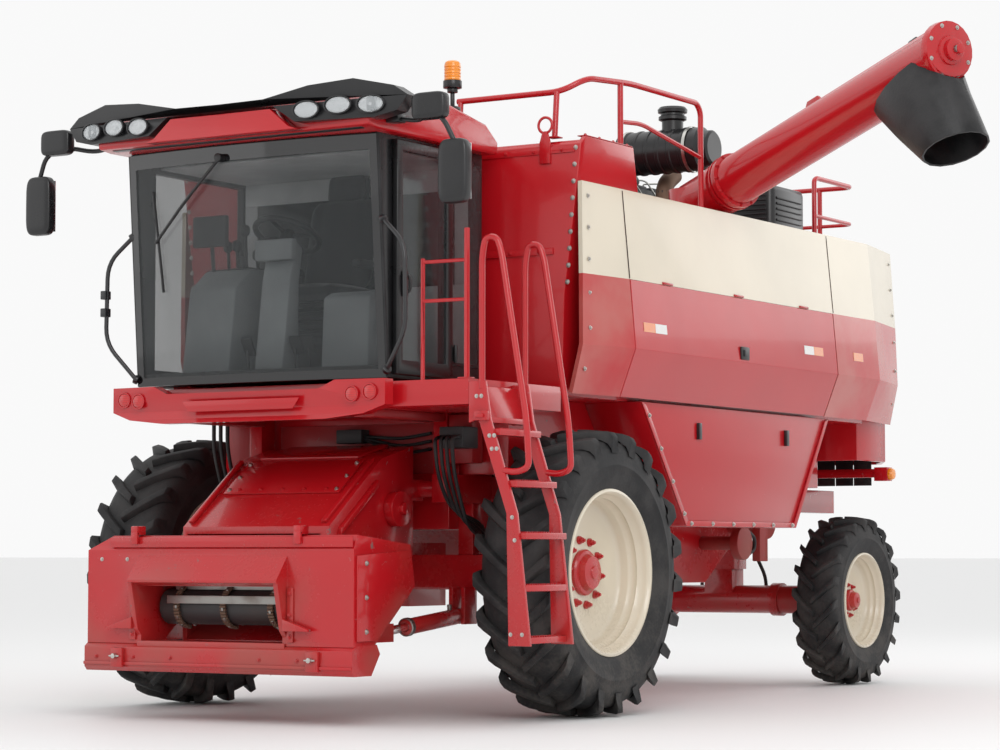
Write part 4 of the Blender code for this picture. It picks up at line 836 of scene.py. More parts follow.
class Fasteners:
    """Gathers bolts by size, body and finish, and builds each lot with one tree."""

    def __init__(self) -> None:
        """Start with none."""
        self.lots: Dict[Tuple[str, Finish, float], List[Tuple[Vector, Vector]]] = {}

    def at(self, body: str, points: Iterable[Point], facing: Point, radius: float = 0.011,
           finish: Finish = ZINC) -> None:
        """Put bolts at points, all facing one way."""
        lot = self.lots.setdefault((body, finish, radius), [])
        lot.extend((Vector(p), Vector(facing).normalized()) for p in points)

    def line(self, body: str, start: Point, end: Point, count: int, facing: Point, radius: float = 0.011,
             finish: Finish = ZINC) -> None:
        """Put bolts evenly from start to end."""
        first, second = Vector(start), Vector(end)
        spots = [first.lerp(second, k / max(1, count - 1)) for k in range(count)]
        self.at(body, [tuple(p) for p in spots], facing, radius, finish)

    def build(self) -> None:
        """Build every lot: a washer, a hexagon and the thread's end."""
        for index, ((body, finish, radius), points) in enumerate(self.lots.items()):
            bolt = Shaper(f"bolt_piece_{index}", None, finish, radius * 0.12)
            bolt.rod((0, 0, -0.001), (0, 0, radius * 0.30), radius * 1.45, sides=12)
            bolt.rod((0, 0, radius * 0.25), (0, 0, radius * 1.05), radius, sides=6)
            bolt.rod((0, 0, radius), (0, 0, radius * 1.35), radius * 0.5, sides=8, edge=0.0)
            piece = loose(bolt)
            RepeatTree.of(Repeat.POINTS).run(f"bolts_{body}_{index}", body, finish, piece, points=points)
            bpy.data.objects.remove(piece)


BOLTS = Fasteners()
MAIN = "harvester"


# ---- wheels -----------------------------------------------------------------------------------
@dataclass
class Wheel:
    """One wheel: carcass, bar lugs, rim, hub and studs."""

    end: str
    side: Side
    radius: float
    width: float
    bore: float
    lugs: int
    lug_height: float
    hub_radius: float
    studs: int
    stud_circle: float

    @property
    def body(self) -> str:
        """The body that the wheel rides on."""
        return f"{self.end}_wheel_{self.side.word}"

    @property
    def centre(self) -> Vector:
        """The wheel's middle, from its CAD tyre."""
        low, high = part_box(f"{self.end}_tyre_{self.side.word}")
        return (low + high) / 2 - ORIGIN

    @property
    def rolling_radius(self) -> float:
        """The radius, no more than the axle's height over the ground."""
        return min(self.radius, self.centre.z)

    def carcass(self) -> None:
        """Rounded tyre body between the lugs, with a rib on each wall."""
        r, half, h, bead = self.rolling_radius, self.width / 2, self.lug_height, self.bore + 0.001
        wall = r - bead
        outer = [(r - h, 0.0), (r - h - 0.001, half * 0.40), (r - h - wall * 0.035, half * 0.68),
                 (r - h - wall * 0.10, half * 0.86), (r - h - wall * 0.22, half * 0.955),
                 (r - h - wall * 0.36, half * 0.99), (r - h - wall * 0.44, half * 1.0),
                 (r - h - wall * 0.455, half * 1.012), (r - h - wall * 0.475, half * 1.012),
                 (r - h - wall * 0.49, half * 0.995), (r - h - wall * 0.62, half * 0.965),
                 (r - h - wall * 0.72, half * 0.915), (r - h - wall * 0.80, half * 0.86), (bead, half * 0.81),
                 (bead, half * 0.70)]
        profile = outer + [(p, -x) for p, x in reversed(outer[1:])]
        tyre = Shaper(f"{self.body}_carcass", self.body, TYRE)
        tyre.lathe(profile, self.centre, (1.0, 0.0, 0.0), 96)
        tyre.done(f"{self.end}_tyre_{self.side.word}", angle=50.0)

    def lug(self, hand: int) -> bpy.types.Object:
        """One bar lug from past the middle over the shoulder, about the wheel's axis.

        Args:
            hand: 1 towards +X, -1 towards -X.

        Returns:
            The loose piece.
        """
        r, half, h = self.rolling_radius, self.width / 2, self.lug_height
        sweep = math.tau / self.lugs * 0.92
        stations = ((-0.05, 0.0, 0.000, 0.00, 0.0), (0.16, 0.16, 0.001, 0.03, 0.0),
                    (0.40, 0.36, 0.004, 0.06, 0.0),
                    (0.62, 0.56, 0.010, 0.16, 0.01), (0.80, 0.74, 0.013, 0.38, 0.03),
                    (0.93, 0.88, 0.022, 0.90, 0.05),
                    (0.985, 0.97, 0.046, 1.60, 0.04), (1.0, 1.0, 0.090, 2.2, 0.0))
        rings = []
        bm = bmesh.new()
        for x, turn, drop, deep, out in stations:
            top = r - drop * r / 0.81
            low = min(top - 0.004, r - h * (1.06 + deep))
            grow = 1.0 + 0.35 * max(0.0, x)
            ring = []
            for place, radius, push in ((-0.034 * grow, low, 0.0), (-0.021 * grow, top, out),
                                        (0.021 * grow, top, out), (0.034 * grow, low, 0.0)):
                angle = sweep * turn + place / 0.81
                ring.append(bm.verts.new((hand * half * (x + push), radius * math.sin(angle),
                                          radius * math.cos(angle))))
            rings.append(ring)
        for first, second in zip(rings, rings[1:]):
            for k in range(4):
                n = (k + 1) % 4
                bm.faces.new((first[k], first[n], second[n], second[k]))
        bm.faces.new(rings[0])
        bm.faces.new(rings[-1])
        shaper = Shaper(f"{self.body}_lug_{hand}", None, TYRE, 0.004)
        shaper._take(bm)
        return loose(shaper)

    def tread(self) -> None:
        """Both rows of lugs, the second half a pitch later."""
        for hand, phase in ((1, 0.0), (-1, 0.5)):
            piece = self.lug(hand)
            RepeatTree.of(Repeat.RING).run(
                f"{self.body}_tread_{'a' if hand > 0 else 'b'}", self.body, TYRE, piece,
                {"Count": self.lugs, "Centre": tuple(self.centre + ORIGIN),
                 "Phase": math.tau * phase / self.lugs},
                angle=38.0)
            bpy.data.objects.remove(piece)

    def rim(self) -> None:
        """Stepped rim barrel with rolled flanges and its dished disc."""
        b, half = self.bore, self.width * 0.40
        s = b / 0.4575
        outer = [(b - 0.016 * s, half + 0.004), (b - 0.004 * s, half + 0.016), (b + 0.010 * s, half + 0.013),
                 (b + 0.014 * s, half + 0.004), (b, half - 0.001), (b, half - 0.02), (b - 0.022, half - 0.05),
                 (b - 0.022, 0.0)]
        skin = outer + [(p, -x) for p, x in reversed(outer[:-1])]
        inner = [(b - 0.018 * s, -half + 0.004), (b - 0.030 * s, -half + 0.05), (b - 0.048 * s, -half + 0.09),
                 (b - 0.052 * s, -0.012), (b * 0.50, -0.020), (self.hub_radius, -0.010), (0.0, -0.010),
                 (0.0, 0.012), (self.hub_radius, 0.012), (b * 0.48, 0.002), (b * 0.55, -0.004),
                 (b - 0.075 * s, 0.006),
                 (b - 0.060 * s, 0.016), (b - 0.052 * s, 0.035), (b - 0.050 * s, half * 0.36),
                 (b - 0.046 * s, half * 0.42), (b - 0.036 * s, half * 0.50), (b - 0.033 * s, half * 0.62),
                 (b - 0.038 * s, half * 0.68), (b - 0.026 * s, half * 0.80), (b - 0.020 * s, half * 0.92)]
        profile = [(p, x * self.side.value) for p, x in skin + inner]
        rim = Shaper(f"{self.body}_rim", self.body, CREAM)
        rim.lathe(profile, self.centre, (1.0, 0.0, 0.0), 96)
        rim.done(f"{self.end}_rim_{self.side.word}", angle=40.0)

    def hub(self) -> None:
        """Red hub cover and the stud circle round it."""
        h, sign = self.hub_radius, self.side.value
        profile = [(0.0, 0.010), (h, 0.010), (h, 0.030), (h * 0.94, 0.040), (h * 0.80, 0.044),
                   (h * 0.76, 0.060),
                   (h * 0.70, 0.078), (h * 0.30, 0.086), (h * 0.27, 0.094), (h * 0.14, 0.096), (0.0, 0.096)]
        hub = Shaper(f"{self.body}_hub", self.body, RED)
        hub.lathe([(p, x * sign) for p, x in profile], self.centre, (1.0, 0.0, 0.0), 48)
        hub.done(angle=28.0)
        stud = Shaper(f"{self.body}_stud", None, RED, 0.002)
        c, size = self.stud_circle, self.hub_radius / 0.13
        for reach, radius, sides in ((0.020, 0.024, 16), (0.038, 0.017, 6), (0.050, 0.0095, 10)):
            stud.rod((0.0, 0.0, c), (sign * reach * (0.5 + 0.5 * size), 0.0, c), radius * (0.4 + 0.6 * size),
                     sides=sides)
        piece = loose(stud)
        RepeatTree.of(Repeat.RING).run(f"{self.body}_studs", self.body, RED, piece, {
            "Count": self.studs, "Centre": tuple(self.centre + ORIGIN), "Phase": 0.2})
        bpy.data.objects.remove(piece)

    def build(self) -> None:
        """Build the wheel."""
        self.carcass()
        self.tread()
        self.rim()
        self.hub()


# ---- body -------------------------------------------------------------------------------------
@dataclass
class Bodywork:
    """Structure, tank, shields, hood and axles: CAD shapes with rounded edges, folds and bolts."""

    tank_top: float = 3.27
    shoulder: float = 3.0
    shield_x: float = 1.38

    def skins(self) -> None:
        """Every painted CAD shape."""
        for node in ("grain_tank", "separator_body", "straw_hood", "lower_shield_left", "lower_shield_right"):
            refine(node, RED, 0.006)
        for node in ("thresher_housing", "chassis_frame", "front_axle", "rear_axle", "steering_knuckle_left",
                     "steering_knuckle_right"):
            refine(node, RED_WORN, 0.005)

    def tank(self) -> None:
        """Rim flanges, folds, bolt rows, the lifting eye and the cross auger in the sump."""
        trim = Shaper("tank_flanges", MAIN, RED, 0.003)
        for side in Side:
            low, high = side.span(1.335, 1.39)
            trim.box((low, 0.64, self.shoulder + 0.0005), (high, 1.728, self.shoulder + 0.006))
            low, high = side.span(1.365, 1.424)
            trim.box((low, -0.05, self.tank_top + 0.0005), (high, 0.49, self.tank_top + 0.006))
        trim.box((-1.38, -0.1085, 3.175), (1.38, -0.1005, 3.212))
        trim.box((-1.24, -0.1125, 2.60), (1.24, -0.1005, 2.64))
        for x in (-0.42, 0.42):
            trim.box((x - 0.02, -0.1125, 1.90), (x + 0.02, -0.1005, 3.20))
        trim.done()
        eye = Shaper("tank_lifting_eye", MAIN, RED, 0.004)
        eye.prism([(1.155, 3.12), (1.225, 3.12), (1.225, 3.24), (1.205, 3.305), (1.175, 3.305),
                   (1.155, 3.24)],
                  "Y", -0.118, -0.1006)
        ring = [(1.19 + 0.045 * math.cos(a), -0.109, 3.34 + 0.045 * math.sin(a))
                for a in (math.tau * k / 20 for k in range(20))]
        eye.pipe(ring, 0.008, 0.01, 10, closed=True)
        eye.done()
        screw = Shaper("tank_cross_auger", MAIN, STEEL, 0.002)
        screw.rod((0.0, -0.068, 2.06), (0.0, 1.698, 2.06), 0.03)
        flight = bmesh.new()
        pairs = []
        for k in range(12 * 11 + 1):
            turn, y = math.tau * k / 12, 0.0 + 1.62 * k / (12 * 11)
            pairs.append([flight.verts.new((r * math.cos(turn), y,
                                            2.06 + r * math.sin(turn))) for r in (0.028, 0.085)])
        for first, second in zip(pairs, pairs[1:]):
            flight.faces.new((first[0], first[1], second[1], second[0]))
        bmesh.ops.solidify(flight, geom=flight.faces[:], thickness=0.004)
        screw._take(flight, 0.0)
        screw.done()
        for side in Side:
            x = side.value * 1.427
            BOLTS.line(MAIN, (x - side.value * 0.026, -0.02, 3.2766), (x - side.value * 0.026, 0.46, 3.2766),
                       4,
                       (0, 0, 1), 0.009, RED)
            BOLTS.line(MAIN, (side.value * 1.363, 0.70, 3.0066), (side.value * 1.363, 1.68, 3.0066), 7,
                       (0, 0, 1), 0.009, RED)
            BOLTS.line(MAIN, (side.value * 1.33, -0.1006, 2.44), (side.value * 1.385, -0.1006, 3.20), 9,
                       (0, -1, 0), 0.010)
        BOLTS.line(MAIN, (-1.15, -0.1131, 2.62), (1.15, -0.1131, 2.62), 13, (0, -1, 0), 0.009, RED)
        BOLTS.line(MAIN, (-1.30, -0.1086, 3.193), (1.30, -0.1086, 3.193), 15, (0, -1, 0), 0.009, RED)

    def shields(self) -> None:
        """Folded rims, latches and bolts of the lower drive shields."""
        for side in Side:
            edge = side.value * (self.shield_x + 0.0005)
            low, high = side.span(self.shield_x + 0.0005, self.shield_x + 0.010)
            fold = Shaper(f"shield_folds_{side.word}", MAIN, RED, 0.003)
            corners = [(0.65, 1.799), (1.20, 1.076), (2.70, 1.076), (3.20, 1.799)]
            inner = [(0.71, 1.78), (1.225, 1.108), (2.675, 1.108), (3.145, 1.78)]
            for k in range(3):
                fold.prism([corners[k], corners[k + 1], inner[k + 1], inner[k]], "X", low, high)
            fold.done()
            latch = Shaper(f"shield_latch_{side.word}", MAIN, BLACK, 0.003)
            near, far = side.span(self.shield_x + 0.0005, self.shield_x + 0.022)
            for y in (1.35, 2.55):
                latch.box((near, y, 1.60), (far, y + 0.035, 1.70))
            latch.done()
            face = (side.value, 0, 0)
            bx = edge + side.value * 0.0101
            BOLTS.line(MAIN, (bx, 1.26, 1.092), (bx, 2.64, 1.092), 6, face, 0.010)
            BOLTS.line(MAIN, (bx, 0.74, 1.72), (bx, 1.17, 1.15), 4, face, 0.010)

    def hood(self) -> None:
        """Rear hood: pressed seams, the tail hatch with its handle, and the curtain below."""
        trim = Shaper("hood_trim", MAIN, RED, 0.003)
        trim.box((-0.80, 4.9205, 1.80), (0.80, 4.930, 2.80), 0.004)
        for z in (2.04, 2.30, 2.56):
            trim.box((-0.70, 4.9305, z - 0.018), (0.70, 4.940, z + 0.018), 0.004)
        for side in Side:
            low, high = side.span(0.42, 0.52)
            trim.box((low, 4.9305, 2.74), (high, 4.950, 2.82))
        trim.done()
        handle = Shaper("hood_handle", MAIN, MOULDED, 0.003)
        handle.pipe([(-0.10, 4.931, 1.90), (-0.10, 4.965, 1.90), (0.10, 4.965, 1.90), (0.10, 4.931, 1.90)],
                    0.010)
        handle.done()
        curtain = Shaper("hood_curtain", MAIN, HOSE, 0.001)
        for k in range(13):
            x = -0.93 + k * 0.1438
            curtain.box((x, 4.8835, 1.40), (x + 0.138, 4.8895, 1.62))
        curtain.done()
        BOLTS.line(MAIN, (-0.74, 4.9306, 1.84), (-0.74, 4.9306, 2.70), 6, (0, 1, 0), 0.009, RED)
        BOLTS.line(MAIN, (0.74, 4.9306, 1.84), (0.74, 4.9306, 2.70), 6, (0, 1, 0), 0.009, RED)
        for x in (-0.45, 0.45):
            BOLTS.line(MAIN, (x, 4.955 - 0.0049, 2.78), (x + 0.03 * (1 if x > 0 else -1), 4.9501, 2.78), 2,
                       (0, 1, 0), 0.008)

    def running_gear(self) -> None:
        """Brackets, belts, hoses and drive parts that show under the body."""
        # Painted shade: the under-body parts take the darker copy of the red.
        drive = Shaper("under_body_drives", MAIN, RED_SHADED_DUSTY, 0.004)
        for side in Side:
            low, high = side.span(0.7005, 0.98)
            for y in (0.10, 0.62, 3.22, 3.60):
                drive.box((low, y, 1.24), (high, y + 0.05, 1.355))
            low, high = side.span(0.80, 0.86)
            drive.box((low, 3.24, 0.86), (high, 3.36, 1.30), 0.006)
            x = side.value
            drive.rod((x * 0.6005, 3.30, 1.10), (x * 0.84, 3.30, 1.10), 0.05)
            drive.rod((x * 0.72, 3.48, 1.14), (x * 0.80, 3.48, 1.14), 0.13, sides=32)
            drive.rod((x * 0.6005, 3.48, 1.14), (x * 0.74, 3.48, 1.14), 0.05)
            drive.rod((x * 0.86, 2.90, 0.98), (x * 0.92, 2.90, 0.98), 0.11, sides=28)
            drive.rod((x * 0.6005, 2.90, 0.98), (x * 0.88, 2.90, 0.98), 0.045)
        drive.box((-0.22, 3.60, 0.96), (0.22, 3.84, 1.17), 0.01)
        drive.done()
        belts = Shaper("under_body_belts", MAIN, HOSE, 0.002)
        for side in Side:
            x = side.value * 0.89
            belts.pipe([(x, 2.90, 1.098), (x, 2.79, 0.98), (x, 2.90, 0.865), (x, 3.10, 0.94),
                        (x, 3.10, 1.02)],
                       0.012, 0.09, 8, closed=True)
        belts.done()
        hoses = Shaper("steering_hoses", MAIN, HOSE, 0.0)
        for x in (-0.26, 0.26):
            hoses.pipe([(x, 4.535, 0.60), (x, 4.535, 0.74), (x * 0.6, 4.50, 0.98), (x * 0.5, 4.45, 1.205)],
                       0.013, 0.08)
        hoses.done()

    def build(self) -> None:
        """Build the body."""
        self.skins()
        self.tank()
        self.shields()
        self.hood()
        self.running_gear()


@dataclass
class SidePanels:
    """Both sides' skins and service doors with painted shadow strips in their seams, latches and reflectors.
    """

    door: Tuple[float, float] = (0.35, 3.09)

    def face_x(self, y: float, z: float) -> float:
        """How far out the skin is at a place.

        Args:
            y: Along the machine.
            z: Height.

        Returns:
            The distance from the middle plane.
        """
        ys = (-0.10, 0.35, 3.75, 4.42)
        rows = ((3.01, (1.425, 1.43, 1.43, 1.30)), (2.486, (1.43, 1.48, 1.48, 1.335)),
                (2.085, (1.43, 1.516, 1.516, 1.35)), (1.81, (1.36, 1.41, 1.41, 1.29)))
        k = max(i for i in range(3) if y >= ys[i] or i == 0)
        t = (y - ys[k]) / (ys[k + 1] - ys[k])
        level = [(height, xs[k] + (xs[k + 1] - xs[k]) * t) for height, xs in rows]
        for (high, far), (low, near) in zip(level, level[1:]):
            if low <= z <= high:
                return near + (far - near) * (z - low) / (high - low)
        return level[-1][1]

    def strip(self, shaper: Shaper, side: Side, y0: float, y1: float, z0: float, z1: float,
              lift: float = 0.0008) -> None:
        """A thin plate that lies on the skin between two stations and two heights."""
        thick = 0.0012
        bm = bmesh.new()
        corners = [(y0, z0), (y1, z0), (y1, z1), (y0, z1)]
        rings = [[bm.verts.new((side.value * (self.face_x(y, z) + lift + out), y, z)) for y, z in corners]
                 for out in (0.0, thick)]
        bm.faces.new(rings[0])
        bm.faces.new(rings[1])
        for k in range(4):
            n = (k + 1) % 4
            bm.faces.new((rings[0][k], rings[0][n], rings[1][n], rings[1][k]))
        shaper._take(bm, 0.0)

    def build(self) -> None:
        """Build both sides."""
        for side in Side:
            refine(f"side_panel_{side.word}", PANEL, 0.004, 12.0)
            refine(f"service_door_{side.word}", RED, 0.004, 12.0)
            door_body = f"service_door_{side.word}"
            # Painted shadow: thin dark strips on the skin along the door seams.
            seams = Shaper(f"panel_seams_{side.word}", MAIN, SHADOW)
            for y in self.door:
                for z0, z1 in ((2.49, 3.0),):
                    self.strip(seams, side, y - 0.004, y + 0.004, z0, z1)
            seams.done()
            white = Shaper(f"reflectors_white_{side.word}", door_body, WHITE_TAPE)
            amber = Shaper(f"reflectors_amber_{side.word}", door_body, AMBER_TAPE)
            for y, first in ((0.47, amber), (2.60, white)):
                second = white if first is amber else amber
                self.strip(first, side, y, y + 0.14, 2.19, 2.245)
                self.strip(second, side, y + 0.142, y + 0.28, 2.19, 2.245)
            white.done()
            amber.done()
            rear = Shaper(f"reflector_rear_{side.word}", MAIN, AMBER_TAPE)
            self.strip(rear, side, 3.35, 3.50, 2.19, 2.245)
            rear.done()
            latch = Shaper(f"door_latch_{side.word}", door_body, MOULDED, 0.003)
            x = self.face_x(1.72, 2.14)
            near, far = side.span(x - 0.002, x + 0.012)
            latch.box((near, 1.68, 2.10), (far, 1.79, 2.18), 0.006)
            near, far = side.span(x + 0.008, x + 0.020)
            latch.box((near, 1.705, 2.12), (far, 1.74, 2.16), 0.004)
            latch.done()
            face = (side.value, 0, 0.08)
            for y in (-0.04, 4.34):
                spots = [(side.value * (self.face_x(y, z) + 0.001), y, z) for z in (2.93, 2.75, 2.57, 2.38,
                                                                                    2.18, 1.95)]
                BOLTS.at(MAIN, spots, face, 0.009)
            hinge = Shaper(f"door_hinges_{side.word}", MAIN, RED, 0.002)
            for y in (0.80, 1.72, 2.64):
                hinge.rod((side.value * 1.4835, y - 0.06, 2.494), (side.value * 1.4835, y + 0.06, 2.494),
                          0.007, sides=12)
            hinge.done()


# ---- feeder -----------------------------------------------------------------------------------
@dataclass
class Feeder:
    """Feeder house, header adapter, drum and lift cylinders."""

    front: float = -1.58
    half: float = 0.90
    mouth: Tuple[float, float] = (-0.52, 0.44)

    def house(self) -> None:
        """Sloping housing with its top cover, side ribs and bolts."""
        refine("feeder_house", RED_WORN, 0.005)
        cover = Shaper("feeder_cover", "feeder", RED, 0.004)
        cover.prism([(-1.00, 1.2426), (-0.76, 1.4255), (-0.758, 1.4385), (-1.01, 1.2505)], "X", -0.40, 0.40)
        for x in (-0.47, 0.44):
            cover.prism([(-1.22, 1.0765), (-0.76, 1.4255), (-0.765, 1.4475), (-1.235, 1.092)], "X", x,
                        x + 0.03)
        cover.prism([(-0.735, 1.4416), (-0.43, 1.5180), (-0.435, 1.532), (-0.74, 1.456)], "X", -0.34, 0.34)
        cover.done()
        slope = (0.0, -0.605, 0.796)
        for x in (-0.37, 0.37):
            BOLTS.line("feeder", (x, -0.985, 1.2679), (x, -0.79, 1.4158), 3, slope, 0.010)
        for k in range(5):
            BOLTS.at("feeder", [(-0.30 + k * 0.15, -0.985, 1.2679)], slope, 0.010, RED)
        ribs = Shaper("feeder_side_ribs", "feeder", RED_WORN, 0.004)
        for side in Side:
            near, far = side.span(0.5005, 0.53)
            ribs.prism([(-1.16, 1.05), (-0.80, 1.32), (-0.80, 1.28), (-1.16, 1.01)], "X", near, far)
            ribs.prism([(-1.16, 0.56), (-0.56, 0.92), (-0.56, 0.88), (-1.16, 0.52)], "X", near, far)
            near, far = side.span(0.5005, 0.56)
            ribs.rod((near, -0.62, 1.16), (far, -0.62, 1.16), 0.10, sides=32)
            near, far = side.span(0.55, 0.585)
            ribs.rod((near, -0.62, 1.16), (far, -0.62, 1.16), 0.035, sides=6)
        ribs.done()

    def adapter(self) -> None:
        """Header adapter: the lid with its hinge blocks, gussets, flanges, latch blocks and bolts."""
        refine("header_adapter", RED_WORN, 0.006, 25.0)
        f, h = self.front, self.half
        plates = Shaper("adapter_plates", "feeder", RED_WORN, 0.003)
        plates.prism([(-h + 0.17, 1.002), (h - 0.002, 1.002), (h - 0.002, 0.945), (-h + 0.17, 0.945)],
                     "Y", f - 0.010, f - 0.0005)
        plates.box((self.mouth[0] - 0.02, f - 0.0125, 0.405), (self.mouth[1] + 0.02, f - 0.0005, 0.4345))
        for x in (self.mouth[0] - 0.075, self.mouth[1] + 0.034):
            plates.box((x, f - 0.012, 0.44), (x + 0.042, f - 0.0005, 0.73))
        plates.prism([(self.mouth[1] + 0.032, 0.565), (self.mouth[1] + 0.20, 0.510),
                      (self.mouth[1] + 0.20, 0.50),
                      (self.mouth[1] + 0.032, 0.50)], "Y", f - 0.05, f - 0.0125)
        plates.prism([(self.mouth[0] - 0.20, 0.50), (self.mouth[0] - 0.20, 0.510),
                      (self.mouth[0] - 0.032, 0.565),
                      (self.mouth[0] - 0.032, 0.50)], "Y", f - 0.05, f - 0.0125)
        for side in Side:
            low, high = side.span(0.53, 0.575)
            plates.box((low, f - 0.03, 1.012), (high, f + 0.05, 1.062), 0.006)
            plates.box((low, f - 0.0305, 0.962), (high, f - 0.0105, 1.03), 0.005)
            low, high = side.span(0.62, 0.70)
            plates.box((low, f - 0.045, 0.287), (high, f - 0.0206, 0.395), 0.006)
            low, high = side.span(h + 0.0005, h + 0.012)
            plates.prism([(f + 0.02, 0.45), (f + 0.02, 0.90), (-1.08, 0.93), (-1.03, 0.75), (-1.38, 0.45)],
                         "X", low, high)
        plates.box((-0.905, f - 0.0305, 0.300), (0.905, f - 0.0205, 0.318))
        plates.done()
        pins = Shaper("adapter_pins", "feeder", ZINC, 0.002)
        for side in Side:
            x = side.value * 0.66
            pins.rod((x, f - 0.046, 0.35), (x, f - 0.075, 0.35), 0.014)
            pins.rod((x - 0.035, f - 0.062, 0.35), (x + 0.035, f - 0.062, 0.35), 0.005, sides=8)
        pins.done()
        face = (0, -1, 0)
        for x in (self.mouth[0] - 0.054, self.mouth[1] + 0.055):
            BOLTS.line("feeder", (x, f - 0.0121, 0.47), (x, f - 0.0121, 0.70), 3, face, 0.010, RED)
        BOLTS.line("feeder", (-0.82, f - 0.0206, 0.345), (-0.30, f - 0.0206, 0.345), 3, face, 0.009, RED)
        BOLTS.line("feeder", (0.30, f - 0.0206, 0.345), (0.55, f - 0.0206, 0.345), 2, face, 0.009, RED)
        BOLTS.line("feeder", (-0.80, f - 0.0006, 0.88), (-0.62, f - 0.0006, 0.88), 2, face, 0.008)
        for side in Side:
            BOLTS.line("feeder", (side.value * (h + 0.0121), -1.48, 0.50),
                       (side.value * (h + 0.0121), -1.48, 0.86),
                       3, (side.value, 0, 0), 0.010)

    def conveyor(self) -> None:
        """Chain drum with its sprockets, and the slats and chains of the conveyor over it."""
        refine("feeder_drum", IRON, 0.003)
        y, z = -1.36, 0.62
        tooth = Shaper("sprocket_tooth", None, STEEL, 0.001)
        tooth.prism([(-0.018, 0.099), (0.018, 0.099), (0.008, 0.122), (-0.008, 0.122)], "X", -0.007, 0.007)
        piece = loose(tooth)
        for index, x in enumerate((-0.36, -0.04, 0.28)):
            RepeatTree.of(Repeat.RING).run(f"sprocket_{index}", "feeder", STEEL, piece, {
                "Count": 12, "Centre": tuple(Vector((x, y, z)) + ORIGIN), "Phase": 0.1 * index})
        bpy.data.objects.remove(piece)
        slats = Shaper("conveyor_slats", "feeder", STEEL, 0.002)
        for k, (sy, sz) in enumerate(((-1.478, 0.66), (-1.40, 0.735), (-1.27, 0.81))):
            slats.box((-0.42, sy - 0.004, sz - 0.022), (0.36, sy + 0.004, sz + 0.022))
        slats.done()
        chains = Shaper("conveyor_chains", "feeder", RUSTY, 0.001)
        for x in (-0.36, -0.04, 0.28):
            for k in range(22):
                angle = math.radians(-80 - k * 9)
                cy, cz = y + 0.112 * math.cos(angle), z - 0.112 * math.sin(angle)
                chains.rod((x - 0.018, cy, cz), (x + 0.018, cy, cz), 0.008, sides=8, edge=0.0)
        chains.done()

    def cylinders(self) -> None:
        """Lift cylinders with gland rings and hose fittings."""
        for side in Side:
            refine(f"lift_cylinder_{side.word}", RED_WORN, 0.003)
            refine(f"lift_rod_{side.word}", CHROME, 0.002)
            x = side.value * 0.66
            foot, eye = Vector((x, -0.16, 0.56)), Vector((x, -0.98, 0.48))
            along = (eye - foot).normalized()
            gland = Shaper(f"lift_gland_{side.word}", f"lift_barrel_{side.word}", STEEL, 0.002)
            start = foot + along * 0.545
            up = Vector((0.0, -along.z, along.y)) * -1.0
            gland.lathe([(0.0455, 0.0), (0.052, 0.004), (0.052, 0.030), (0.0455, 0.034)], tuple(start),
                        tuple(along), 32)
            gland.rod(tuple(foot + along * 0.12 + up * 0.043), tuple(foot + along * 0.12 + up * 0.075), 0.014)
            gland.done()

    def build(self) -> None:
        """Build the feeder."""
        self.house()
        self.adapter()
        self.conveyor()
        self.cylinders()


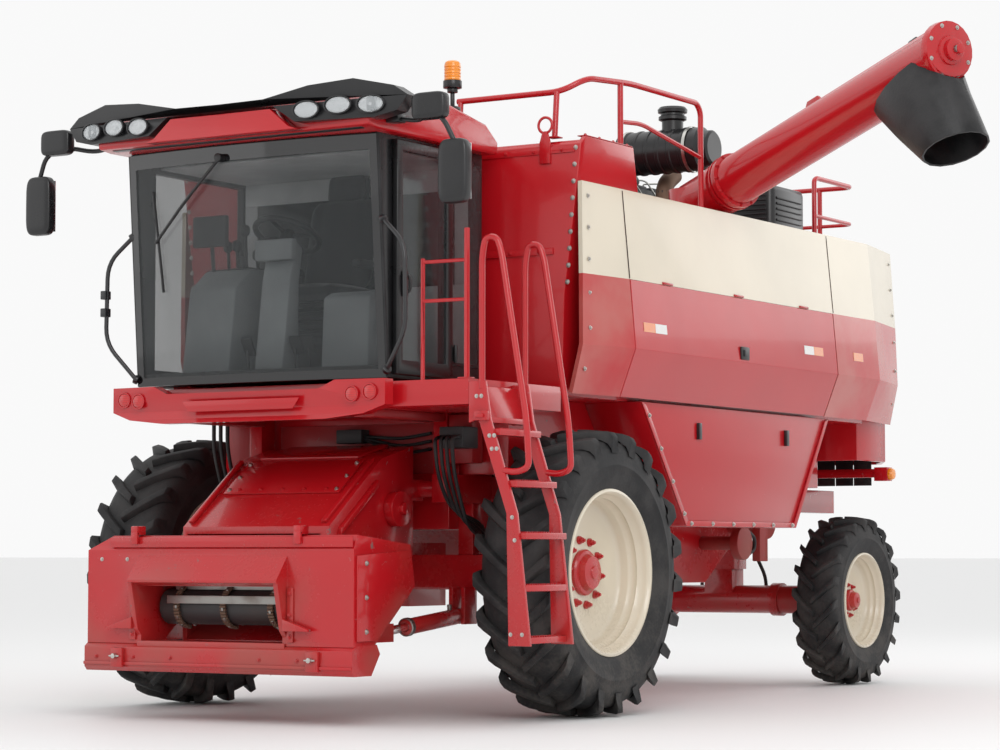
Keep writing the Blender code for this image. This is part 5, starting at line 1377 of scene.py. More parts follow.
# ---- cab --------------------------------------------------------------------------------------
@dataclass
class Cab:
    """Cab shell, glass, roof, visor, bumper, mirrors, wiper and grab rails."""

    half: float = 0.85
    low: float = 1.857
    high: float = 3.177
    front: float = -1.20
    lean: float = 0.10
    bulge: float = 0.06
    visor_front: float = -1.60

    def screen_y(self, x: float, z: float) -> float:
        """Where the windscreen's outside is at a place.

        Args:
            x: Across the cab.
            z: Height.

        Returns:
            Its Y.
        """
        return (self.front - 0.0124 - self.bulge * (1 - (x / self.half) ** 2)
                - self.lean * (z - self.low) / (self.high - self.low))

    def shell(self) -> None:
        """Pillars and panes."""
        refine("cab_shell", MOULDED, 0.004)
        refine("windscreen", SCREEN, 0.0, 30.0)
        for node in ("right_window", "quarter_window", "cab_door_glass"):
            refine(node, GLASS, 0.0)
        refine("cab_door", MOULDED, 0.006)
        liner = Shaper("cab_liner", MAIN, LINER, 0.004)
        liner.box((-0.79, -0.2995, 1.9275), (0.79, -0.2925, 2.44))
        liner.box((-0.79, -0.2995, 2.98), (0.79, -0.2925, 3.12))
        for x in (-0.79, 0.70):
            liner.box((x, -0.2995, 2.44), (x + 0.09, -0.2925, 2.98))
        liner.box((-0.78, -1.12, 3.105), (0.78, -0.31, 3.126), 0.02)
        liner.done()
        window = Shaper("cab_rear_window", MAIN, GLASS, 0.01)
        window.box((-0.70, -0.2985, 2.44), (0.70, -0.2945, 2.98))
        window.done()
        seals = Shaper("cab_seals", MAIN, SEAL, 0.002)
        for side in Side:
            path = [(side.value * 0.8515, self.screen_y(0.85, z) + 0.012, z) for z in (1.86, 2.5, 3.17)]
            seals.pipe(path, 0.012, 0.02)
        seals.done()
        handle = Shaper("cab_door_handle", "cab_door", MOULDED, 0.003)
        handle.box((0.8859, -1.115, 2.30), (0.898, -1.065, 2.44), 0.008)
        handle.pipe([(0.897, -1.09, 2.32), (0.925, -1.09, 2.335), (0.925, -1.09, 2.405),
                     (0.897, -1.09, 2.42)], 0.009, 0.02)
        handle.done()
        hinges = Shaper("cab_door_hinges", MAIN, MOULDED, 0.002)
        for z in (2.02, 2.95):
            hinges.rod((0.8905, -0.583, z - 0.05), (0.8905, -0.583, z + 0.05), 0.011, sides=16)
            hinges.box((0.8512, -0.59, z - 0.04), (0.888, -0.57, z + 0.04))
        hinges.done()

    def wiper(self) -> None:
        """One long wiper that hangs from the top of the windscreen."""
        arm = Shaper("wiper_arm", MAIN, MOULDED, 0.002)
        pivot = Vector((-0.15, self.screen_y(-0.15, 3.10) - 0.022, 3.10))
        elbow = Vector((-0.64, self.screen_y(-0.64, 2.66) - 0.030, 2.66))
        arm.rod((pivot.x, pivot.y - 0.02, pivot.z), (pivot.x, pivot.y + 0.026, pivot.z), 0.024)
        arm.pipe([tuple(pivot), tuple(pivot.lerp(elbow, 0.5) + Vector((0, -0.016, 0))), tuple(elbow)], 0.009,
                 0.1)
        top = Vector((-0.66, self.screen_y(-0.66, 2.95) - 0.012, 2.95))
        foot = Vector((-0.61, self.screen_y(-0.61, 2.38) - 0.012, 2.38))
        arm.pipe([tuple(top), tuple(top.lerp(foot, 0.5)), tuple(foot)], 0.008, 0.1, 8)
        arm.done()

    def roof(self) -> None:
        """Red roof, black visor with its centre panel and the beacon."""
        refine("cab_roof", RED, 0.012, 20.0)
        refine("roof_visor", MOULDED, 0.014, 22.0)
        panel = Shaper("visor_centre_panel", MAIN, RED, 0.006)
        panel.prism([(0.46, 3.205), (0.34, 3.306), (-0.34, 3.306), (-0.46, 3.205), (-0.52, 3.185),
                     (0.52, 3.185)],
                    "Y", -1.585, -1.5015)
        panel.done()
        chin = Shaper("visor_chin", MAIN, MOULDED, 0.008)
        chin.box((-0.86, -1.46, 3.1795), (0.86, -1.3395, 3.205), 0.008)
        chin.done()
        beacon = Shaper("beacon_lens", MAIN, AMBER, 0.002)
        x, y = 0.86, -0.57
        profile = [(0.0, 3.558), (0.046, 3.558)]
        for k in range(5):
            z = 3.562 + k * 0.018
            profile += [(0.0475, z), (0.0475, z + 0.010), (0.0450, z + 0.013)]
        profile += [(0.046, 3.652), (0.040, 3.664), (0.026, 3.671), (0.0, 3.673)]
        beacon.lathe([(r, z - 3.56) for r, z in profile], (x, y, 3.56), (0, 0, 1), 32)
        beacon.done("warning_beacon", angle=50.0)
        base = Shaper("beacon_base", MAIN, MOULDED, 0.003)
        base.rod((x, y, 3.515), (x, y, 3.5575), 0.053, sides=32)
        base.rod((x, y, 3.49), (x, y, 3.516), 0.030, sides=20)
        base.rod((x, y, 3.40), (x, y, 3.492), 0.013, sides=16)
        base.box((0.825, -0.605, 3.388), (0.895, -0.535, 3.412), 0.005)
        base.done()

    def lamp(self, x: float, z: float, body_y: float, tilt: float, size: float = 0.047) -> None:
        """One oval work lamp in the visor.

        Args:
            x: Its middle across the cab.
            z: Its middle's height.
            body_y: The visor's face there.
            tilt: Turn about the upright, in degrees.
            size: Half its height.
        """
        turn = (Matrix.Translation((x, body_y, z)) @ Matrix.Rotation(math.radians(tilt), 4, "Z")
                @ Matrix.Scale(1.65, 4, (1, 0, 0)) @ Matrix.Translation((-x, -body_y, -z)))
        place = (x, body_y, z)
        name = f"{int(round(x * 100)) + 200}"
        for label, finish, profile in (
                ("bezel", MOULDED, [(size, -0.012), (size * 1.10, 0.006), (size * 1.08, 0.014),
                                    (size * 0.98, 0.016),
                                    (size * 0.92, 0.006), (size * 0.92, -0.012)]),
                ("bowl", CHROME, [(0.0, -0.006), (size * 0.90, 0.0), (size * 0.91, 0.005),
                                  (size * 0.70, -0.001),
                                  (size * 0.42, -0.004), (0.0, -0.004)]),
                ("glass", CLEAR, [(0.0, 0.013), (size * 0.70, 0.011), (size * 0.905, 0.006),
                                  (size * 0.90, 0.009),
                                  (size * 0.72, 0.0145), (0.0, 0.017)]),
                ("bulb", CHROME, [(0.0, -0.004), (size * 0.24, -0.004), (size * 0.22, 0.006), (0.0, 0.009)])):
            part = Shaper(f"lamp_{label}_{name}", MAIN, finish, 0.0)
            part.lathe(profile, place, (0.0, -1.0, 0.0), 40)
            part.bent(lambda co: turn @ co)
            part.done(angle=45.0)

    def lamps(self) -> None:
        """Three lamps on each side of the visor, and the bumper's red lamps."""
        for side in Side:
            for x, z in ((0.575, 3.282), (0.765, 3.296), (0.955, 3.290)):
                y = self.visor_front + 0.13 * (x / 1.16) ** 2 - 0.002
                self.lamp(side.value * x, z, y, side.value * 2 * 0.13 * x / 1.16 ** 2 * 57.3)
            for x in (0.73, 0.84):
                self.bumper_lamp(side.value * x, 1.765 if x < 0.8 else 1.775)

    def bumper_y(self, x: float) -> float:
        """The bumper's front face at a place across."""
        return -1.34 - 0.05 * (1 - (x / 0.93) ** 2)

    def bumper_lamp(self, x: float, z: float) -> None:
        """A round red lamp in the bumper with its black ring."""
        y, name = self.bumper_y(x), f"{int(round(x * 100)) + 200}"
        ring = Shaper(f"bumper_ring_{name}", MAIN, RED, 0.0)
        ring.lathe([(0.040, -0.004), (0.046, 0.004), (0.045, 0.010), (0.038, 0.010), (0.036, -0.004)],
                   (x, y, z), (0, -1, 0), 32)
        ring.done(angle=45.0)
        lens = Shaper(f"bumper_lens_{name}", MAIN, RED_LENS, 0.0)
        lens.lathe([(0.0, 0.001), (0.037, 0.001), (0.036, 0.008), (0.022, 0.016), (0.0, 0.019)], (x, y, z),
                   (0, -1, 0), 32)
        lens.done(angle=45.0)

    def bumper(self) -> None:
        """Bumper with its pressed recess, and the deck's front edge."""
        refine("bumper_panel", RED, 0.010, 20.0)
        refine("access_deck", RED_WORN, 0.005)
        strip = Shaper("bumper_recess", MAIN, RED, 0.003)
        outline = [(0.40, 1.755), (0.36, 1.695), (-0.36, 1.695), (-0.40, 1.755)]
        strip.prism(outline, "Y", -1.005, -0.999)
        strip.bent(lambda co: Vector((co.x, self.bumper_y(co.x) + (co.y + 1.0) - 0.0016, co.z)))
        strip.done()
        tread = Shaper("deck_tread", MAIN, STEEL, 0.001)
        tread.box((0.93, -1.13, 1.8375), (1.33, -0.26, 1.8405))
        tread.done()
        bar = Shaper("tread_bar", None, STEEL, 0.0006)
        bar.box((-0.012, -0.003, 0.0), (0.012, 0.003, 0.003))
        piece = loose(bar)
        spots = [(Vector((0.97 + 0.036 * i, -1.10 + 0.036 * j, 1.8405)), Vector((0, 0, 1)))
                 for i in range(10) for j in range(23)]
        RepeatTree.of(Repeat.POINTS).run("deck_tread_bars", MAIN, STEEL, piece, points=spots)
        bpy.data.objects.remove(piece)

    def rails(self) -> None:
        """Black grab rails beside the windscreen and the mirrors on their arms."""
        for side in Side:
            s = side.value
            rail = Shaper(f"grab_rail_tube_{side.word}", MAIN, BLACK, 0.003)
            rail.pipe([(s * 0.862, -1.262, 2.71), (s * 1.02, -1.29, 2.57), (s * 1.03, -1.29, 2.11),
                       (s * 0.862, -1.222, 1.90)],
                      0.0125, 0.09, 14)
            rail.rod((s * 0.852, -1.257, 2.715), (s * 0.872, -1.267, 2.70), 0.026)
            rail.rod((s * 0.852, -1.217, 1.895), (s * 0.872, -1.227, 1.905), 0.026)
            if side is Side.RIGHT:
                for z in (2.26, 2.36):
                    rail.box((s * 1.035 - 0.02, -1.315, z), (s * 1.035 + 0.02, -1.265, z + 0.05), 0.005)
            rail.done(f"grab_rail_{side.word}")
            arm = Shaper(f"mirror_arm_{side.word}", MAIN, MOULDED, 0.003)
            arm.pipe([(s * 0.985, -1.30, 3.237), (s * 1.12, -1.29, 3.215), (s * 1.24, -1.40, 3.24),
                      (s * 1.36, -1.44, 3.20),
                      (s * 1.43, -1.42, 3.05)], 0.0135, 0.08, 12)
            arm.box((min(s * 0.9304, s * 1.01), -1.34, 3.215), (max(s * 0.9304, s * 1.01), -1.26, 3.2596),
                    0.006)
            arm.done(f"mirror_{side.word}")
            for label, low, high in (("head", (1.33, -1.455, 2.74), (1.51, -1.375, 3.08)),
                                     ("wide", (1.175, -1.475, 3.19), (1.385, -1.395, 3.335))):
                middle = [(a + b) / 2 for a, b in zip(low, high)]
                size = [(b - a) / 2 for a, b in zip(low, high)]
                middle[0] *= s
                head = Shaper(f"mirror_{label}_{side.word}", MAIN, MOULDED)
                head.blob(tuple(middle), tuple(size), 5.0, 40)
                head.done(angle=60.0)
                glass = Shaper(f"mirror_{label}_glass_{side.word}", MAIN, MIRROR, 0.002)
                glass.box((middle[0] - size[0] * 0.86, high[1] - 0.004, low[2] + 0.022),
                          (middle[0] + size[0] * 0.86, high[1] + 0.002, high[2] - 0.022), 0.002)
                glass.done()

    def under(self) -> None:
        """Valves, brackets and hoses behind the feeder and under the deck."""
        # Painted shade: the plates under the cab take the darker copy of the red.
        box = Shaper("under_cab_plates", MAIN, RED_SHADED_DUSTY, 0.004)
        for side in Side:
            near, far = side.span(0.7005, 0.86)
            box.box((near, -0.36, 1.42), (far, -0.25, 1.695))
            near, far = side.span(0.56, 0.70)
            box.box((near, -1.10, 1.655), (far, -0.40, 1.699))
        box.box((-0.58, -0.2155, 1.37), (0.58, -0.2005, 1.66))
        box.done()
        valve = Shaper("under_cab_valves", MAIN, IRON, 0.004)
        valve.box((0.74, -0.52, 1.50), (0.90, -0.3605, 1.62), 0.006)
        valve.box((-0.12, -0.30, 1.55), (0.06, -0.2160, 1.63), 0.006)
        for k in range(4):
            valve.rod((0.765 + k * 0.037, -0.545, 1.56), (0.765 + k * 0.037, -0.515, 1.56), 0.013)
        valve.rod((-0.19, -0.2165, 1.47), (-0.19, -0.27, 1.47), 0.045, sides=32)
        valve.done()
        hoses = Shaper("under_cab_hoses", MAIN, HOSE, 0.0)
        for k in range(4):
            x = 0.765 + k * 0.037
            hoses.pipe([(x, -0.545, 1.56), (x, -0.60, 1.55), (x + 0.015, -0.60, 1.36),
                        (x + 0.01, -0.46, 1.16 - 0.03 * k),
                        (0.86, -0.25, 1.08 - 0.03 * k), (0.80, -0.108, 0.98 - 0.03 * k)], 0.011, 0.10)
        for k in range(3):
            x = -0.76 - k * 0.05
            hoses.pipe([(x, -0.50, 1.699), (x, -0.50, 1.52), (x + 0.02, -0.44, 1.28), (x + 0.03, -0.22, 1.08),
                        (-0.80, -0.108, 0.96 - 0.03 * k)], 0.012, 0.10)
        for k in range(3):
            z = 1.60 - 0.045 * k
            hoses.pipe([(0.50, -0.232, z), (0.30, -0.245, z - 0.03), (0.06, -0.262, 1.59 - 0.01 * k)], 0.010,
                       0.08)
        hoses.done()

    def build(self) -> None:
        """Build the cab's outside."""
        self.shell()
        self.wiper()
        self.roof()
        self.lamps()
        self.bumper()
        self.rails()
        self.under()


@dataclass
class CabInterior:
    """Seat, steering column, console, pedals and mat."""

    floor: float = 1.9274

    def cushion(self, name: str, centre: Point, size: Point, crown: float,
                lean: float = 0.0) -> bpy.types.Object:
        """A crowned pad with pulled-in sides and three sewn channels.

        Args:
            name: The object's name.
            centre: Its middle.
            size: Half its width, depth and height.
            crown: How far its face swells.
            lean: Turn about X, in degrees.

        Returns:
            The pad.
        """
        steps = 16
        bm = bmesh.new()
        bmesh.ops.create_cube(bm, size=2.0)
        bmesh.ops.subdivide_edges(bm, edges=bm.edges[:], cuts=steps - 1, use_grid_fill=True)
        for vertex in bm.verts:
            u, v, w = vertex.co
            near = (1 - u * u) * (1 - v * v)
            swell = crown * near ** 0.35
            channel = sum(math.exp(-((v - c) / 0.05) ** 2) for c in (-0.45, 0.0, 0.45)) * 0.20 * crown
            groove = math.exp(-((abs(u) - 0.62) / 0.05) ** 2) * 0.25 * crown
            pull = 1.0 - 0.05 * (1 - abs(w)) - 0.10 * (abs(u) ** 8 * abs(v) ** 8)
            top = (swell - channel * near - groove) if w > 0.99 else 0.0
            vertex.co = (u * size[0] * pull, v * size[1] * pull,
                         w * size[2] * (1 - 0.12 * (u ** 6 + v ** 6) / 2) + top)
        bmesh.ops.transform(bm, matrix=Matrix.Translation(centre) @ Matrix.Rotation(math.radians(lean), 4,
                                                                                    "X"),
                            verts=bm.verts)
        shaper = Shaper(name, MAIN, FABRIC)
        shaper._take(bm, 0.0)
        pad = shaper.done(angle=70.0, level=1)
        return pad

    def seat(self) -> None:
        """Suspension seat with its cushion, back, head rest and arm rests."""
        f = self.floor
        base = Shaper("seat_base", MAIN, TRIM_DARK, 0.008)
        base.prism([(-0.80, f), (-0.42, f), (-0.46, f + 0.36), (-0.76, f + 0.36)], "X", -0.20, 0.20, 0.015)
        for k in range(5):
            z = f + 0.10 + k * 0.05
            base.box((-0.215, -0.79, z), (0.215, -0.43, z + 0.025), 0.008)
        base.box((-0.24, -0.84, f + 0.3605), (0.24, -0.40, f + 0.395), 0.012)
        for side in Side:
            low, high = side.span(0.275, 0.335)
            base.box((low, -0.72, f + 0.60), (high, -0.40, f + 0.645), 0.015)
            low, high = side.span(0.285, 0.315)
            base.box((low, -0.42, f + 0.42), (high, -0.38, f + 0.61), 0.008)
        base.done("driver_seat")
        self.cushion("seat_cushion", (0.0, -0.635, f + 0.445), (0.25, 0.215, 0.045), 0.030)
        self.cushion("seat_back", (0.0, -0.395, f + 0.76), (0.235, 0.27, 0.035), 0.028, 80.0)
        self.cushion("head_rest", (0.0, -0.345, f + 1.10), (0.13, 0.075, 0.028), 0.018, 82.0)

    def controls(self) -> None:
        """Steering column with its wheel, the console with its levers, pedals and screen."""
        f = self.floor
        column = Shaper("steering_column_cover", MAIN, TRIM, 0.010)
        column.prism([(-1.13, f), (-0.97, f), (-0.965, f + 0.50), (-0.93, f + 0.70), (-1.00, f + 0.74),
                      (-1.06, f + 0.52)],
                     "X", -0.10, 0.10, 0.02)
        column.box((-0.13, -1.09, f + 0.62), (0.13, -1.03, f + 0.74), 0.015)
        column.done("steering_column")
        tilt = Matrix.Translation((0.0, -0.955, f + 0.775)) @ Matrix.Rotation(math.radians(-25), 4, "X")
        wheel = Shaper("steering_wheel", MAIN, TRIM_DARK, 0.004)
        ring = [tuple(tilt @ Vector((0.185 * math.cos(math.tau * k / 32), 0.185 * math.sin(math.tau * k / 32),
                                     0.0)))
                for k in range(32)]
        wheel.pipe(ring, 0.0165, 0.01, 12, closed=True)
        for angle in (math.pi * 0.05, math.pi * 0.95, math.pi * 1.5):
            end = tilt @ Vector((0.178 * math.cos(angle), 0.178 * math.sin(angle), 0.0))
            wheel.pipe([tuple(tilt @ Vector((0, 0, 0.0))), tuple(end)], 0.011, 0.01)
        wheel.rod(tuple(tilt @ Vector((0, 0, -0.10))), tuple(tilt @ Vector((0, 0, 0.02))), 0.036, 0.045)
        wheel.done()
        console = Shaper("side_console_cover", MAIN, TRIM, 0.010)
        console.prism([(-1.02, f), (-0.36, f), (-0.36, f + 0.62), (-0.80, f + 0.62), (-0.95, f + 0.50)], "X",
                      -0.70, -0.36, 0.02)
        console.prism([(-1.05, f), (-0.90, f), (-0.95, f + 0.44), (-1.03, f + 0.40)], "X", 0.30, 0.62, 0.02)
        console.done("side_console")
        levers = Shaper("cab_levers", MAIN, TRIM_DARK, 0.003)
        for x, y, tall in ((-0.43, -0.76, 0.22), (-0.52, -0.72, 0.14), (-0.60, -0.70, 0.14),
                           (-0.50, -0.55, 0.10)):
            levers.rod((x, y, f + 0.60), (x + 0.02, y - 0.04, f + 0.60 + tall), 0.010)
            levers.blob((x + 0.022, y - 0.045, f + 0.62 + tall), (0.026, 0.026, 0.034), 2.6)
            levers.box((x - 0.03, y - 0.05, f + 0.6205), (x + 0.03, y + 0.05, f + 0.632), 0.006)
        levers.box((-0.68, -0.95, f + 0.74), (-0.44, -0.91, f + 0.92), 0.012)
        levers.rod((-0.56, -0.90, f + 0.60), (-0.56, -0.92, f + 0.76), 0.012)
        hinge = Matrix.Translation((0, -1.06, f + 0.1))
        slope = hinge @ Matrix.Rotation(0.5, 4, "X") @ hinge.inverted()
        for x in (-0.17, 0.16, 0.25):
            levers.box((x - 0.035, -1.07, f + 0.09), (x + 0.035, -1.05, f + 0.20), 0.006, slope)
            levers.rod((x, -1.08, f + 0.001), (x, -1.09, f + 0.12), 0.008)
        levers.done()
        display = Shaper("cab_display", MAIN, GLASS, 0.003)
        display.box((-0.665, -0.9098, f + 0.755), (-0.455, -0.9075, f + 0.905), 0.0)
        display.done()
        mat = Shaper("cab_mat", MAIN, HOSE, 0.004)
        mat.box((-0.34, -1.12, f + 0.0003), (0.78, -0.31, f + 0.008), 0.003)
        mat.done()
        dress_up = Shaper("cab_console_face", MAIN, MOULDED, 0.003)
        dress_up.box((-0.685, -0.79, f + 0.6205), (-0.375, -0.40, f + 0.626), 0.003)
        dress_up.done()
        button = Shaper("console_button", None, TRIM_DARK, 0.0015)
        button.box((-0.011, -0.009, 0.0), (0.011, 0.009, 0.008))
        piece = loose(button)
        spots = [(Vector((-0.655 + 0.035 * i, -0.50 + 0.032 * j, f + 0.626)), Vector((0, 0, 1)))
                 for i in range(4) for j in range(3)]
        RepeatTree.of(Repeat.POINTS).run("console_buttons", MAIN, ZINC, piece, points=spots)
        bpy.data.objects.remove(piece)

    def build(self) -> None:
        """Build the cab's inside."""
        self.seat()
        self.controls()


# ---- ladder and rails -------------------------------------------------------------------------
@dataclass
class LadderAndRails:
    """Boarding ladder with its handrails, the tank rail and the rear rail."""

    y: Tuple[float, float] = (-1.20, -0.74)
    plate: float = 0.025
    tube: float = 0.0175

    def ladder(self) -> None:
        """Cheek plates, folded steps, braces and handrails."""
        front, back = self.y
        outline = [(1.3704, 1.82), (1.47, 1.82), (1.50, 1.62), (1.665, 1.12), (1.745, 0.43), (1.615, 0.43),
                   (1.603, 1.12), (1.43, 1.62), (1.3704, 1.60)]
        body = Shaper("ladder_plates", MAIN, RED_WORN, 0.003)
        for low in (front, back - self.plate):
            body.prism(outline, "Y", low, low + self.plate)
        for k in range(5):
            z = 0.44 + 0.273 * k
            near = 1.612 if z < 1.15 else 1.603 - (z - 1.12) * 0.36
            body.box((near, front + 0.02, z), (near + 0.10, back - 0.02, z + 0.035), 0.005)
        body.box((1.42, front + 0.02, 1.60), (1.49, back - 0.02, 1.63), 0.004)
        body.prism([(1.3706, 1.80), (1.398, 1.80), (1.455, 1.62), (1.43, 1.62)], "Y", front + 0.02,
                   back - 0.02)
        body.done("boarding_ladder")
        rails = Shaper("ladder_handrails", MAIN, RED, 0.003)
        x = 1.446
        for y in (front + self.plate / 2, back - self.plate / 2):
            rails.pipe([(x, y, 1.78), (x, y, 2.48), (x + 0.02, y, 2.58), (x + 0.09, y, 2.58),
                        (x + 0.12, y, 2.50),
                        (1.72, y, 1.60), (1.735, y, 1.36), (1.66, y, 1.335), (1.585, y, 1.345)], self.tube,
                       0.09, 14)
        rails.done()
        grip = Shaper("step_grip", None, RED_WORN, 0.0008)
        grip.box((-0.036, -0.004, 0.0), (0.036, 0.004, 0.005))
        piece = loose(grip)
        spots = []
        for k in range(5):
            z = 0.44 + 0.273 * k
            near = 1.612 if z < 1.15 else 1.603 - (z - 1.12) * 0.36
            spots += [(Vector((near + 0.05, front + 0.06 + 0.024 * j, z + 0.035)),
                       Vector((0, 0, 1))) for j in range(15)]
        RepeatTree.of(Repeat.POINTS).run("step_grips", MAIN, RED_WORN, piece, points=spots)
        bpy.data.objects.remove(piece)
        face = (0, -1, 0)
        for px, pz in ((1.50, 1.53), (1.53, 1.53), (1.515, 1.46), (1.545, 1.46), (1.64, 1.10), (1.655, 0.98),
                       (1.70, 0.49),
                       (1.63, 0.49), (1.45, 1.74), (1.42, 1.74)):
            BOLTS.at(MAIN, [(px, front - 0.0005, pz)], face, 0.008)
        catch = Shaper("ladder_catch", MAIN, RED_WORN, 0.004)
        catch.box((1.42, front - 0.030, 1.61), (1.50, front - 0.0005, 1.66))
        catch.box((1.435, front - 0.045, 1.625), (1.485, front - 0.0295, 1.645))
        catch.done()

    def guard(self) -> None:
        """The guard's foot plate at the deck's front corner."""
        feet = Shaper("guard_feet", MAIN, RED, 0.003)
        feet.box((1.30, -1.205 + 0.002, 1.8375), (1.369, -1.135, 1.845))
        feet.done()

    def tank(self) -> None:
        """Rail on the tank's left edge and round its front."""
        x, top = 1.365, 3.66
        rail = Shaper("tank_rail_tube", MAIN, RED, 0.003)
        rail.pipe([(0.55, -0.03, top - 0.12), (1.25, -0.03, top - 0.12), (x, 0.06, top - 0.04),
                   (x, 0.56, top),
                   (x, 1.40, top), (x, 1.45, top - 0.05), (x, 1.45, 3.003)], self.tube, 0.08, 14)
        rail.pipe([(x, 0.45, 3.273), (x, 0.45, top)], self.tube, 0.01, 14)
        for px in (1.22, 0.57):
            rail.pipe([(px, -0.055, 3.273), (px, -0.03, top - 0.12)], self.tube, 0.01, 14)
        rail.pipe([(x, 0.45, 3.42), (x, 0.70, 3.44), (x, 1.45, 3.33)], 0.0135, 0.08, 12)
        for px, py, pz in ((x, 1.45, 3.0005), (x, 0.45, 3.2705), (1.22, -0.0555, 3.2705),
                           (0.57, -0.0555, 3.2705)):
            rail.box((px - 0.035, py - 0.035, pz), (px + 0.035, py + 0.035, pz + 0.008))
        rail.done("tank_rail")

    def rear(self) -> None:
        """Rail round the rear hood, with an arched bar in front of it."""
        z0, z1 = 2.9904, 3.55
        rail = Shaper("rear_rail_tube", MAIN, RED, 0.003)
        ring = [(0.86, 4.12, z0), (0.86, 4.12, z1 - 0.02), (0.86, 4.16, z1), (0.86, 4.76, z1),
                (-0.86, 4.76, z1),
                (-0.86, 4.16, z1), (-0.86, 4.12, z1 - 0.02), (-0.86, 4.12, z0)]
        rail.pipe(ring, self.tube, 0.08, 14)
        rail.pipe([(0.86, 4.12, 3.28), (0.86, 4.76, 3.28), (-0.86, 4.76, 3.28), (-0.86, 4.12, 3.28)], 0.0135,
                  0.08, 12)
        for x in (-0.60, 0.60):
            rail.pipe([(x, 4.76, z0), (x, 4.76, z1)], self.tube, 0.01, 14)
        for px, py in ((0.86, 4.12), (-0.86, 4.12), (0.60, 4.76), (-0.60, 4.76)):
            rail.box((px - 0.04, py - 0.04, z0), (px + 0.04, py + 0.04, z0 + 0.008))
        rail.done("rear_rail")

    def build(self) -> None:
        """Build the ladder and the rails."""
        self.ladder()
        self.guard()
        self.tank()
        self.rear()


